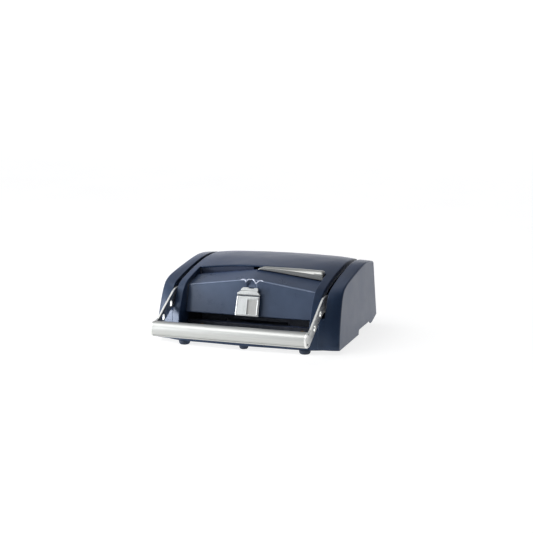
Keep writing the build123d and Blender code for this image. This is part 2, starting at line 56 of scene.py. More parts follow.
class Mat:
    def __init__(self, name):
        self.m = bpy.data.materials.new(name)
        self.m.use_nodes = True
        self.t = self.m.node_tree
        self.t.nodes.clear()
        self.out = self.t.nodes.new("ShaderNodeOutputMaterial")
        self.b = self.t.nodes.new("ShaderNodeBsdfPrincipled")
        self.t.links.new(self.b.outputs[0], self.out.inputs[0])
        self.tc = self.t.nodes.new("ShaderNodeTexCoord")

    def n(self, kind, **kw):
        nd = self.t.nodes.new(kind)
        for k, v in kw.items():
            setattr(nd, k, v)
        return nd

    def link(self, a, b):
        self.t.links.new(a, b)

    def set(self, **kw):
        for k, v in kw.items():
            self.b.inputs[k.replace("_", " ")].default_value = v

    def mapping(self, scale=(1, 1, 1), rot=(0, 0, 0)):
        mp = self.n("ShaderNodeMapping")
        mp.inputs["Scale"].default_value = scale
        mp.inputs["Rotation"].default_value = rot
        self.link(self.tc.outputs["Object"], mp.inputs["Vector"])
        return mp.outputs[0]

    def noise(self, scale, detail=3.0, rough=0.55, vec=None):
        nz = self.n("ShaderNodeTexNoise")
        nz.inputs["Scale"].default_value = scale
        nz.inputs["Detail"].default_value = detail
        nz.inputs["Roughness"].default_value = rough
        self.link(vec if vec is not None else self.tc.outputs["Object"], nz.inputs["Vector"])
        return nz.outputs["Fac"]

    def ramp(self, fac, stops):
        r = self.n("ShaderNodeValToRGB")
        el = r.color_ramp.elements
        while len(el) > len(stops):
            el.remove(el[-1])
        while len(el) < len(stops):
            el.new(0.5)
        for e, (p, c) in zip(el, stops):
            e.position = p
            e.color = c
        self.link(fac, r.inputs[0])
        return r.outputs[0]

    def rng(self, fac, a, b, lo, hi):
        r = self.n("ShaderNodeMapRange")
        r.inputs[1].default_value = a
        r.inputs[2].default_value = b
        r.inputs[3].default_value = lo
        r.inputs[4].default_value = hi
        self.link(fac, r.inputs[0])
        return r.outputs[0]

    def math(self, op, a, b):
        m = self.n("ShaderNodeMath", operation=op)
        for i, v in enumerate((a, b)):
            if isinstance(v, (int, float)):
                m.inputs[i].default_value = v
            else:
                self.link(v, m.inputs[i])
        return m.outputs[0]

    def mix(self, fac, a, b):
        m = self.n("ShaderNodeMix", data_type="RGBA")
        self.link(fac, m.inputs[0])
        for i, v in ((6, a), (7, b)):
            if isinstance(v, tuple):
                m.inputs[i].default_value = v
            else:
                self.link(v, m.inputs[i])
        return m.outputs[2]

    def bump(self, height, strength, dist=0.0004, normal=None):
        b = self.n("ShaderNodeBump")
        b.inputs["Strength"].default_value = strength
        b.inputs["Distance"].default_value = dist
        self.link(height, b.inputs["Height"])
        if normal is not None:
            self.link(normal, b.inputs["Normal"])
        self.link(b.outputs[0], self.b.inputs["Normal"])
        return b.outputs[0]

    def edge(self, lo=0.50, hi=0.60):
        """Convex edges, from the mesh's own curvature."""
        g = self.n("ShaderNodeNewGeometry")
        return self.rng(g.outputs["Pointiness"], lo, hi, 0.0, 1.0)


def plastic(name, base, dark, light, rough=(0.36, 0.46), grain=1.0, wear=0.35, spec=0.5, coat=0.0):
    """Moulded plastic: fine spark-eroded grain, faint cloudiness, rubbed edges."""
    m = Mat(name)
    cloud = m.noise(26, 3, 0.5)
    fine = m.noise(900, 2, 0.6)
    grainy = m.noise(2600, 2, 0.65)
    col = m.ramp(cloud, [(0.30, dark), (0.55, base), (0.75, light)])
    tint = m.mix(m.rng(fine, 0.35, 0.65, 0.0, 0.10), col, light)
    worn = m.math("MULTIPLY", m.edge(0.52, 0.62), m.rng(m.noise(120, 4, 0.6), 0.4, 0.65, 0.15, 1.0))
    rub = tuple(min(1.0, c * 1.9 + 0.02) for c in base[:3]) + (1.0,)
    m.link(m.mix(m.math("MULTIPLY", worn, wear), tint, rub), m.b.inputs["Base Color"])
    m.link(m.rng(m.math("ADD", m.math("MULTIPLY", cloud, 0.6), m.math("MULTIPLY", fine, 0.4)), 0.3, 0.7, rough[0], rough[1]),
           m.b.inputs["Roughness"])
    h = m.math("ADD", m.math("MULTIPLY", grainy, 0.7), m.math("MULTIPLY", fine, 0.3))
    m.bump(h, 0.10 * grain, 0.00025)
    m.set(IOR=1.49)
    m.b.inputs["Sheen Weight"].default_value = 0.10
    m.b.inputs["Sheen Roughness"].default_value = 0.5
    m.b.inputs["Sheen Tint"].default_value = (0.25, 0.42, 1.0, 1)
    m.b.inputs["Specular Tint"].default_value = (0.74, 0.83, 1.0, 1)
    m.b.inputs["Specular IOR Level"].default_value = spec
    if coat:
        m.b.inputs["Coat Weight"].default_value = coat
        m.b.inputs["Coat Roughness"].default_value = 0.22
    return m.m


def metal(name, base, along, rough=(0.22, 0.36), streak=1.0, aniso=0.4, stretch=60.0, metallic=1.0):
    """Drawn or brushed metal: streaks run along one axis of the part."""
    m = Mat(name)
    sc = [900.0, 900.0, 900.0]
    sc["XYZ".index(along)] = 900.0 / stretch
    v = m.mapping(scale=tuple(sc))
    s1 = m.noise(1.0, 4, 0.7, v)
    sc2 = [220.0, 220.0, 220.0]
    sc2["XYZ".index(along)] = 220.0 / stretch
    s2 = m.noise(1.0, 3, 0.6, m.mapping(scale=tuple(sc2)))
    cloud = m.noise(18, 3, 0.55)
    dark = tuple(c * 0.80 for c in base[:3]) + (1.0,)
    lite = tuple(min(1.0, c * 1.10) for c in base[:3]) + (1.0,)
    line = m.math("ADD", m.math("MULTIPLY", s1, 0.55), m.math("MULTIPLY", s2, 0.45))
    col = m.ramp(line, [(0.28, dark), (0.5, base), (0.72, lite)])
    smear = m.mix(m.rng(cloud, 0.55, 0.75, 0.0, 0.18), col, dark)
    m.link(smear, m.b.inputs["Base Color"])
    m.link(m.rng(m.math("ADD", m.math("MULTIPLY", line, 0.7), m.math("MULTIPLY", cloud, 0.3)), 0.32, 0.68, rough[0], rough[1]),
           m.b.inputs["Roughness"])
    m.b.inputs["Metallic"].default_value = metallic
    m.b.inputs["Anisotropic"].default_value = aniso
    m.bump(line, 0.014 * streak, 0.0002)
    return m.m


def rubber(name, base):
    m = Mat(name)
    a = m.noise(700, 3, 0.6)
    b = m.noise(60, 4, 0.6)
    dusty = tuple(min(1.0, c * 2.6 + 0.012) for c in base[:3]) + (1.0,)
    m.link(m.mix(m.rng(b, 0.45, 0.7, 0.0, 0.5), base, dusty), m.b.inputs["Base Color"])
    m.link(m.rng(b, 0.3, 0.7, 0.62, 0.85), m.b.inputs["Roughness"])
    m.bump(a, 0.25, 0.0003)
    return m.m


NAVY = plastic("casing_navy", rgb(22, 38, 60), rgb(19, 34, 55), rgb(27, 44, 68), rough=(0.30, 0.38), spec=0.5)
NAVY_PANEL = plastic("panel_navy", rgb(54, 66, 86), rgb(50, 61, 80), rgb(60, 72, 93), rough=(0.26, 0.32), spec=0.55)
# navy for the ridge crown, lighter than the panel: a painted highlight
RIDGE_PAINTED_HIGHLIGHT = plastic("ridge_painted_highlight", rgb(88, 100, 122), rgb(82, 94, 115), rgb(96, 108, 131), rough=(0.20, 0.26), spec=0.6, coat=0.3)
NAVY_DEEP = plastic("tray_navy", rgb(30, 38, 58), rgb(26, 34, 52), rgb(36, 44, 66), rough=(0.42, 0.52), wear=0.15)
BLACK = plastic("trough_navy", rgb(30, 48, 72), rgb(25, 42, 63), rgb(37, 56, 81), rough=(0.45, 0.58), wear=0.1, spec=0.4)
ALU_X = metal("satin_aluminium_bar", (0.54, 0.548, 0.53, 1), "X", rough=(0.36, 0.44), aniso=0.0, stretch=90)
ALU_ARM = metal("satin_aluminium_arm", (0.86, 0.865, 0.84, 1), "Y", rough=(0.24, 0.36), aniso=0.3, stretch=30)
ALU_TOOL = metal("satin_aluminium_tool", (0.47, 0.475, 0.455, 1), "X", rough=(0.26, 0.36), aniso=0.2, stretch=70)
ALU_DARK = metal("satin_aluminium_shaded", (0.16, 0.165, 0.165, 1), "X", rough=(0.34, 0.44), aniso=0.2, stretch=70)
# darker copy of the slide's aluminium for its sunk field: painted shade
ALU_FIELD_PAINTED_SHADE = metal("satin_aluminium_field_painted_shade", (0.38, 0.38, 0.37, 1), "Z", rough=(0.32, 0.42), aniso=0.1, stretch=30)
ALU_SLIDE = metal("satin_aluminium_slide", (0.53, 0.545, 0.54, 1), "Z", rough=(0.26, 0.34), aniso=0.1, stretch=40)
STEEL = metal("ground_steel", (0.56, 0.56, 0.57, 1), "X", rough=(0.25, 0.42), stretch=25)
ZINC = metal("zinc_plated", (0.62, 0.63, 0.64, 1), "Z", rough=(0.3, 0.5), streak=0.4, aniso=0.0, stretch=2)
BRONZE = metal("sintered_bronze", (0.20, 0.13, 0.06, 1), "X", rough=(0.4, 0.6), streak=0.6, aniso=0.0, stretch=2)
SPRING = metal("spring_steel", (0.34, 0.34, 0.36, 1), "Y", rough=(0.3, 0.5), streak=0.5, stretch=5)
POWDER = plastic("powder_coat", rgb(52, 54, 60), rgb(46, 48, 54), rgb(60, 62, 68), rough=(0.5, 0.62), grain=3.0, wear=0.6)
RUBBER = rubber("foot_rubber", rgb(26, 38, 56))
DARK_STEEL = metal("blackened_steel", (0.07, 0.12, 0.20, 1), "X", rough=(0.4, 0.55), stretch=25, metallic=0.6)


# =========================================================== mesh helpers
def build(name, verts, faces, mat, body, slot, node=None, sharp=None, smooth=True):
    me = bpy.data.meshes.new(name)
    me.from_pydata([M(*v) for v in verts], [], faces)
    me.validate()
    ob = bpy.data.objects.new(name, me)
    bpy.context.scene.collection.objects.link(ob)
    if smooth:
        me.polygons.foreach_set("use_smooth", [True] * len(me.polygons))
    me.materials.append(mat)
    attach(ob, body)
    if node:
        for n in (node if isinstance(node, (list, tuple)) else [node]):
            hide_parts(n)
    return ob


def tidy(ob, merge=0.00001):
    """Joins coincident points and turns every face outward."""
    bm = bmesh.new()
    bm.from_mesh(ob.data)
    bmesh.ops.remove_doubles(bm, verts=bm.verts, dist=merge)
    bmesh.ops.dissolve_degenerate(bm, dist=1e-6, edges=bm.edges)
    bmesh.ops.recalc_face_normals(bm, faces=bm.faces)
    bm.to_mesh(ob.data)
    bm.free()
    ob.data.polygons.foreach_set("use_smooth", [True] * len(ob.data.polygons))
    return ob


def face_out(ob, test):
    """Flips an open surface if most of it faces against test(centre) -> direction."""
    s = 0.0
    for p in ob.data.polygons:
        s += p.area * p.normal.dot(test(p.center))
    if s < 0:
        bm = bmesh.new()
        bm.from_mesh(ob.data)
        bmesh.ops.reverse_faces(bm, faces=bm.faces)
        bm.to_mesh(ob.data)
        bm.free()
        ob.data.polygons.foreach_set("use_smooth", [True] * len(ob.data.polygons))
    return ob


def solidify(ob, t, offset=-1.0):
    m = ob.modifiers.new("wall", "SOLIDIFY")
    m.thickness = t * 0.001
    m.offset = offset
    m.use_even_offset = True
    m.use_rim = True
    return m


def weighted(ob):
    m = ob.modifiers.new("normals", "WEIGHTED_NORMAL")
    m.keep_sharp = True
    m.weight = 60
    return m


def bevel(ob, w, seg=2, angle=32):
    m = ob.modifiers.new("edges", "BEVEL")
    m.width = w * 0.001
    m.segments = seg
    m.limit_method = "ANGLE"
    m.angle_limit = math.radians(angle)
    m.harden_normals = False
    return m


def smooth_loop(pts, n=6, closed=True, keep=()):
    """Catmull-Rom through points; indices in keep stay corners."""
    out = []
    N = len(pts)
    last = N if closed else N - 1
    for i in range(last):
        p0 = pts[(i - 1) % N] if (closed or i > 0) else pts[i]
        p1, p2 = pts[i], pts[(i + 1) % N]
        p3 = pts[(i + 2) % N] if (closed or i + 2 < N) else p2
        if i in keep:
            p0 = p1
        if (i + 1) % N in keep:
            p3 = p2
        for k in range(n):
            t = k / n
            out.append(tuple(0.5 * ((2 * b) + (c - a) * t + (2 * a - 5 * b + 4 * c - d) * t * t +
                                    (-a + 3 * b - 3 * c + d) * t ** 3)
                             for a, b, c, d in zip(p0, p1, p2, p3)))
    if not closed:
        out.append(tuple(pts[-1]))
    return out


def round_poly(pts, r, n=5):
    """Closed polygon with each corner rounded; r is one radius or one per corner."""
    out = []
    N = len(pts)
    for i in range(N):
        p = Vector(pts[i]); a = Vector(pts[i - 1]); b = Vector(pts[(i + 1) % N])
        ri = r[i] if isinstance(r, (list, tuple)) else r
        u, v = (a - p), (b - p)
        lu, lv = u.length, v.length
        u.normalize(); v.normalize()
        ang = math.acos(max(-1, min(1, u.dot(v))))
        if ri <= 0 or ang > math.radians(176):
            out.append(tuple(p))
            continue
        d = min(ri / math.tan(ang / 2), 0.48 * lu, 0.48 * lv)
        s, e = p + u * d, p + v * d
        for k in range(n + 1):
            t = k / n
            q = s * (1 - t) ** 2 + p * 2 * t * (1 - t) + e * t ** 2
            out.append(tuple(q))
    return out


def area2(pts):
    return sum(a[0] * b[1] - b[0] * a[1] for a, b in zip(pts, pts[1:] + pts[:1])) / 2


def inset_loop(pts, d):
    """Moves a closed loop inward by d (negative: outward)."""
    s = 1.0 if area2(pts) > 0 else -1.0
    out = []
    N = len(pts)
    for i in range(N):
        a, p, b = Vector(pts[i - 1]), Vector(pts[i]), Vector(pts[(i + 1) % N])
        e1, e2 = (p - a), (b - p)
        if e1.length < 1e-9:
            e1 = e2
        if e2.length < 1e-9:
            e2 = e1
        n1 = Vector((-e1.y, e1.x)).normalized() * s
        n2 = Vector((-e2.y, e2.x)).normalized() * s
        n = n1 + n2
        if n.length < 1e-6:
            n = n1
        n.normalize()
        c = max(0.35, n.dot(n1))
        out.append(tuple(p + n * (d / c)))
    return out


def slab(name, outer, holes, a0, a1, axis, mat, body, node=None, ch=0.5, seg=2, place=None):
    """A flat part: outline and holes in a plane, between a0 and a1 along axis,
    every rim with a rounded edge of size ch. axis X: loop is (y, z); Y: (x, z); Z: (x, y)."""
    def at(p, a):
        if place is not None:
            return place(p[0], p[1], a)
        if axis == "X":
            return (a, p[0], p[1])
        if axis == "Y":
            return (p[0], a, p[1])
        return (p[0], p[1], a)

    bm = bmesh.new()
    tops, bots = [], []
    for li, loop in enumerate([outer] + list(holes)):
        loop = [tuple(p) for p in loop]
        rings = []
        steps = []
        for k in range(seg + 1):
            th = (math.pi / 2) * k / seg
            steps.append((ch * (1 - math.sin(th)), ch * (1 - math.cos(th))))
        sgn = 1.0 if li == 0 else -1.0
        for ins, dep in steps:
            lp = inset_loop(loop, sgn * ins) if ins > 1e-6 else loop
            rings.append([bm.verts.new(M(*at(p, a0 + dep))) for p in lp])
        for ins, dep in reversed(steps):
            lp = inset_loop(loop, sgn * ins) if ins > 1e-6 else loop
            rings.append([bm.verts.new(M(*at(p, a1 - dep))) for p in lp])
        for r0, r1 in zip(rings, rings[1:]):
            n = len(r0)
            for i in range(n):
                j = (i + 1) % n
                bm.faces.new((r0[i], r0[j], r1[j], r1[i]))
        bots.append(rings[0]); tops.append(rings[-1])
    for group in (bots, tops):
        if len(group) == 1:
            bm.faces.new(group[0])
        else:
            edges = []
            for r in group:
                n = len(r)
                for i in range(n):
                    e = bm.edges.get((r[i], r[(i + 1) % n]))
                    if e is None:
                        e = bm.edges.new((r[i], r[(i + 1) % n]))
                    edges.append(e)
            bmesh.ops.triangle_fill(bm, edges=edges, use_beauty=True)
    bmesh.ops.recalc_face_normals(bm, faces=bm.faces)
    me = bpy.data.meshes.new(name)
    bm.to_mesh(me)
    bm.free()
    ob = bpy.data.objects.new(name, me)
    bpy.context.scene.collection.objects.link(ob)
    me.polygons.foreach_set("use_smooth", [True] * len(me.polygons))
    me.materials.append(mat)
    weighted(ob)
    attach(ob, body)
    if node:
        for n in (node if isinstance(node, (list, tuple)) else [node]):
            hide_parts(n)
    return ob


def circle(cy, cz, r, n=40, ph=0.0):
    return [(cy + r * math.cos(ph + 2 * math.pi * i / n), cz + r * math.sin(ph + 2 * math.pi * i / n)) for i in range(n)]


def lathe(name, prof, centre, axis, mat, body, slot, node=None, n=48, close=True):
    """Turned part: prof is (radius, along) pairs in mm from one end to the other."""
    verts, faces = [], []
    A = {"X": Vector((1, 0, 0)), "Y": Vector((0, 1, 0)), "Z": Vector((0, 0, 1))}[axis] if isinstance(axis, str) else Vector(axis).normalized()
    U = A.orthogonal().normalized()
    W = A.cross(U)
    C = Vector(centre)
    rings = []
    for r, a in prof:
        if r < 1e-6:
            verts.append(tuple(C + A * a))
            rings.append([len(verts) - 1])
        else:
            ring = []
            for i in range(n):
                t = 2 * math.pi * i / n
                verts.append(tuple(C + A * a + (U * math.cos(t) + W * math.sin(t)) * r))
                ring.append(len(verts) - 1)
            rings.append(ring)
    for r0, r1 in zip(rings, rings[1:]):
        if len(r0) == 1 and len(r1) == 1:
            continue
        for i in range(n):
            j = (i + 1) % n
            if len(r0) == 1:
                faces.append((r0[0], r1[j], r1[i]))
            elif len(r1) == 1:
                faces.append((r0[i], r0[j], r1[0]))
            else:
                faces.append((r0[i], r0[j], r1[j], r1[i]))
    return verts, faces


def join(parts):
    """Several (verts, faces) lists as one."""
    V, F = [], []
    for v, f in parts:
        o = len(V)
        V += v
        F += [tuple(i + o for i in q) for q in f]
    return V, F


# =========================================================== casing form
STATIONS = {
    0.0: [(-29, 10), (-27.5, 40), (-22, 70), (-12, 94), (-2, 114), (8, 129),
          (22, 144), (38, 154), (60, 162), (86, 168.5), (116, 173.6),
          (150, 176.4), (195, 178.6), (240, 179.4), (285, 178.2), (320, 174.2)],
    80.0: [(-26, 10), (-24.5, 40), (-19, 70), (-9, 94), (0, 113.5), (9, 128),
           (23, 142), (38, 151.5), (60, 159), (86, 165.8), (116, 171.2),
           (150, 174.5), (195, 177.4), (240, 178.6), (285, 177.5), (320, 173.2)],
    159.0: [(-21, 10), (-19.5, 40), (-14, 70), (-4, 94), (5, 112), (13, 124.5),
            (25, 135), (38, 142.3), (62, 149.6), (88, 156), (116, 162.3),
            (150, 168.2), (195, 173.6), (240, 175.6), (285, 174.6), (321, 169.4)],
    178.5: [(-15, 10), (-13.5, 40), (-8, 70), (1.5, 94), (10.5, 112), (18, 124),
            (30, 134), (43, 140.2), (64, 146.4), (91, 153.2), (120, 159.4),
            (152, 165.1), (196, 171.3), (241, 174), (285.5, 172.6), (322, 167)],
    190.0: [(-10, 10), (-8.5, 40), (-3, 70), (6.5, 94), (15.5, 112), (22.5, 124),
            (34, 134), (46.5, 139.6), (67, 145.2), (93, 151.6), (123, 157.9),
            (155, 163.6), (198, 169.9), (242, 172.8), (286, 171.4), (322, 166)],
    205.0: [(-7.5, 10), (-4.2, 40), (2.8, 70), (12, 94), (20.3, 111.5), (27.3, 123.5),
            (37.8, 134.2), (49.4, 140.1), (69.5, 146.1), (96, 152.3), (127.8, 158.4),
            (160.7, 163.6), (201.5, 169.1), (243.8, 172), (286, 170.7), (322, 165.4)],
    221.0: [(-2.5, 10), (3.5, 40), (12.8, 70), (21.6, 94), (29, 111), (35.8, 123),
            (44.5, 134), (54, 140.3), (73, 147), (100, 152.3), (134, 157.6),
            (168, 162.2), (206, 167), (246, 170.4), (286, 169.2), (322, 164.4)],
}
KS = sorted(STATIONS)
ST = np.array([STATIONS[k] for k in KS], float)      # section, station, (y, z)
KX = np.array(KS)


def station_pts(x):
    """The drawn stations at any x, smooth and level across the middle."""
    x = abs(x)
    j = min(max(int(np.searchsorted(KX, x, side="right")) - 1, 0), len(KX) - 2)
    a, b = KX[j], KX[j + 1]

    def slope(k):
        if k == 0:
            return np.zeros_like(ST[0])
        if k == len(KX) - 1:
            return (ST[k] - ST[k - 1]) / (KX[k] - KX[k - 1])
        d0 = (ST[k] - ST[k - 1]) / (KX[k] - KX[k - 1])
        d1 = (ST[k + 1] - ST[k]) / (KX[k + 1] - KX[k])
        return (d0 * (KX[k + 1] - KX[k]) + d1 * (KX[k] - KX[k - 1])) / (KX[k + 1] - KX[k - 1])

    h = b - a
    t = (x - a) / h
    return ((2 * t ** 3 - 3 * t ** 2 + 1) * ST[j] + (t ** 3 - 2 * t ** 2 + t) * h * slope(j) +
            (-2 * t ** 3 + 3 * t ** 2) * ST[j + 1] + (t ** 3 - t ** 2) * h * slope(j + 1))


_cache = {}


def curve(x):
    """Dense outline at x: 16 samples per span; parameter is the station index.
    Stations 16, 17 are the rear corner and 18.. the rear wall."""
    key = round(abs(x), 4)
    if key in _cache:
        return _cache[key]
    p = [tuple(q) for q in station_pts(x)]
    z15 = p[15][1]
    p += [(328.2, 0.5 * z15 + 80.2), (331.7, 151.5), (334.9, 128.4), (341.5, 80.6)]
    P = np.array([(2 * p[0][0] - p[1][0], 2 * p[0][1] - p[1][1])] + p)
    T, Q = [], []
    n = len(p)
    for i in range(n - 2):
        a, b, c, d = P[i], P[i + 1], P[i + 2], P[i + 3]
        # centripetal tangents
        lab = max(np.linalg.norm(b - a), 1e-6) ** 0.5
        lbc = max(np.linalg.norm(c - b), 1e-6) ** 0.5
        lcd = max(np.linalg.norm(d - c), 1e-6) ** 0.5
        m1 = ((b - a) / lab - (c - a) / (lab + lbc) + (c - b) / lbc) * lbc
        m2 = ((c - b) / lbc - (d - b) / (lbc + lcd) + (d - c) / lcd) * lbc
        for k in range(16):
            t = k / 16
            Q.append((2 * t ** 3 - 3 * t ** 2 + 1) * b + (t ** 3 - 2 * t ** 2 + t) * m1 +
                     (-2 * t ** 3 + 3 * t ** 2) * c + (t ** 3 - t ** 2) * m2)
            T.append(i + t)
    T, Q = np.array(T), np.array(Q)
    _cache[key] = (T, Q)
    return T, Q


def S(x, t):
    T, Q = curve(x)
    return (float(np.interp(t, T, Q[:, 0])), float(np.interp(t, T, Q[:, 1])))


def N(x, t):
    """Outward normal in the (y, z) plane."""
    e = 0.12
    a, b = S(x, max(0.0, t - e)), S(x, min(17.9, t + e))
    dy, dz = b[0] - a[0], b[1] - a[1]
    n = math.hypot(dy, dz)
    return (-dz / n, dy / n)


def t_at_y(x, y):
    T, Q = curve(x)
    k = slice(int(16 * 4), int(16 * 16.5))
    return float(np.interp(y, Q[k, 0], T[k]))


def t_at_z(x, z):
    T, Q = curve(x)
    k = slice(0, 16 * 6)
    return float(np.interp(z, Q[k, 1], T[k]))


WALL_LO = (351.0, 12.0)
REAR_TOP = (331.7, 151.5)


def rear_pt(z):
    return (REAR_TOP[0] + (REAR_TOP[1] - z) / (REAR_TOP[1] - WALL_LO[1]) * (WALL_LO[0] - REAR_TOP[0]), z)


RN = (140.0 / math.hypot(140, 19.3), 19.3 / math.hypot(140, 19.3))    # rear wall's outward normal


def row_list(kind):
    """Parameter rows: dense where the form turns."""
    rows = []
    step = {0: .34, 1: .34, 2: .25, 3: .2, 4: .17, 5: .125, 6: .125, 7: .2, 8: .25, 9: .25, 10: .25, 11: .34, 12: .34, 13: .34, 14: .25, 15: .125, 16: .125}
    t = 0.0
    while t < 17.0 - 1e-6:
        rows.append(t)
        t = min(t + step[min(int(t + 1e-6), 16)], 17.0)
        if abs(t - round(t)) < 0.06:
            t = float(round(t))
    return rows


def surf_point(x, row, drop=0.0):
    """A point of the outer form. row is a parameter below 17 or ('w', z) on the rear wall."""
    if isinstance(row, tuple):
        y, z = rear_pt(row[1])
        ny, nz = RN
    else:
        y, z = S(x, row)
        ny, nz = N(x, row)
    return (x, y - ny * drop, z - nz * drop)


# ----------------------------------------------------------- side casings
def side_casing(sgn, name, node):
    SLOT, R1, R2, LIP = 190.0, 1.2, 4.0, 13.0
    verts, faces = [], []
    idx = {}

    def v(key, p):
        if key not in idx:
            idx[key] = len(verts)
            verts.append((sgn * p[0], p[1], p[2]))
        return idx[key]

    rows = [r for r in row_list(0)]
    t80 = t_at_z(190, 80.0)
    rows = sorted(set([round(r, 5) for r in rows if abs(r - t80) > 0.12] + [round(t80, 5)]))
    rows = rows + [("w", z) for z in (148, 128, 104, 82, 60, 44, 33, 28.2)]
    cols = [("lip", SLOT, LIP), ("r", SLOT, R1), ("r", SLOT + R1 * 0.3, R1 * 0.3), ("r", SLOT + R1, 0.0)]
    for x in (194, 198, 202, 206, 210, 213.5):
        cols.append(("s", float(x), 0.0))
    for k in range(7):
        th = math.pi / 2 * k / 6
        cols.append(("e", 221 - R2 + R2 * math.sin(th), R2 * (1 - math.cos(th))))
    nt = rows.index(round(t80, 5))

    def lean(p):
        """The outer part leans out towards the foot."""
        k = max(0.0, min(1.0, (p[0] - 194.0) / 22.0))
        return (p[0] + 0.0357 * (150.0 - p[2]) * k, p[1], p[2])

    def pt(i, j):
        kind, x, dr = cols[j]
        r = rows[i]
        toe = not isinstance(r, tuple) and i <= nt
        if kind in ("lip", "r") and toe:
            dr = 0.0
        return lean(surf_point(x, r, dr))

    for i in range(len(rows) - 1):
        for j in range(len(cols) - 1):
            if cols[j][0] == "lip" and i < nt:
                continue
            q = [(i, j), (i, j + 1), (i + 1, j + 1), (i + 1, j)]
            ids = [v(("g",) + k, pt(*k) if not (cols[k[1]][0] == "lip" and k[0] <= nt) else surf_point(SLOT, rows[k[0]], LIP)) for k in q]
            faces.append(tuple(ids))
    # toe, reaching in under the slot's lower end
    tc = [(178.56, 0.0), (180.0, 0.0), (182.0, 0.0), (186.0, 0.0)]
    for i in range(nt):
        for j in range(len(tc)):
            a = ("t", i, j); b = ("t", i, j + 1); c = ("t", i + 1, j + 1); d = ("t", i + 1, j)

            def p(key):
                _, ii, jj = key
                if jj == len(tc):
                    return ("g", ii, 1), pt(ii, 1)
                x, dr = tc[jj]
                if ii == nt:
                    dr = max(dr, 0.0)
                return key, surf_point(x, rows[ii], dr)
            ids = []
            for key in (a, b, c, d):
                kk, pp = p(key)
                ids.append(v(kk, pp))
            faces.append(tuple(ids))
    # the toe's top edge turns inward
    for dep, tag in ((12.0, "k"),):
        for j in range(len(tc)):
            def q(jj, deep):
                if jj == len(tc):
                    key = ("g", nt, 1) if not deep else ("k", jj)
                    x = SLOT
                    base = pt(nt, 1)
                else:
                    key = ("t", nt, jj) if not deep else ("k", jj)
                    x = tc[jj][0]
                    base = surf_point(x, rows[nt], tc[jj][1])
                if deep:
                    base = (base[0], base[1] + dep, base[2])
                return v(key, base)
            faces.append((q(j, False), q(j, True), q(j + 1, True), q(j + 1, False)))
    # side wall in one flat face, with the hand recess along its foot
    last = len(cols) - 1
    ring = [idx[("g", i, last)] for i in range(len(rows))]
    foot = [(345.0, 26.2), (320, 19.6), (298, 14.2), (284, 14.6), (281.5, 17.0), (279, 21), (260, 21.4), (200, 21.4),
            (177, 21.0), (172.5, 18.2), (170.5, 14.0), (169.5, 10.0)]
    ids = []
    for y, z in foot:
        verts.append((sgn * (221.0 + 0.0357 * (150.0 - z)), y, z))
        ids.append(len(verts) - 1)
    faces.append(tuple(ring + ids))
    ob = build(name, verts, faces, NAVY, "machine", "casing_plastic", node)
    tidy(ob)
    cx = sgn * 0.205
    face_out(ob, lambda c: Vector((c.x - cx * 0.97, c.y - 0.07, c.z - 0.06)))
    solidify(ob, 2.3)
    weighted(ob)
    return ob


side_casing(1, "right_side_shell", "right_side_casing")
side_casing(-1, "left_side_shell", "left_side_casing")


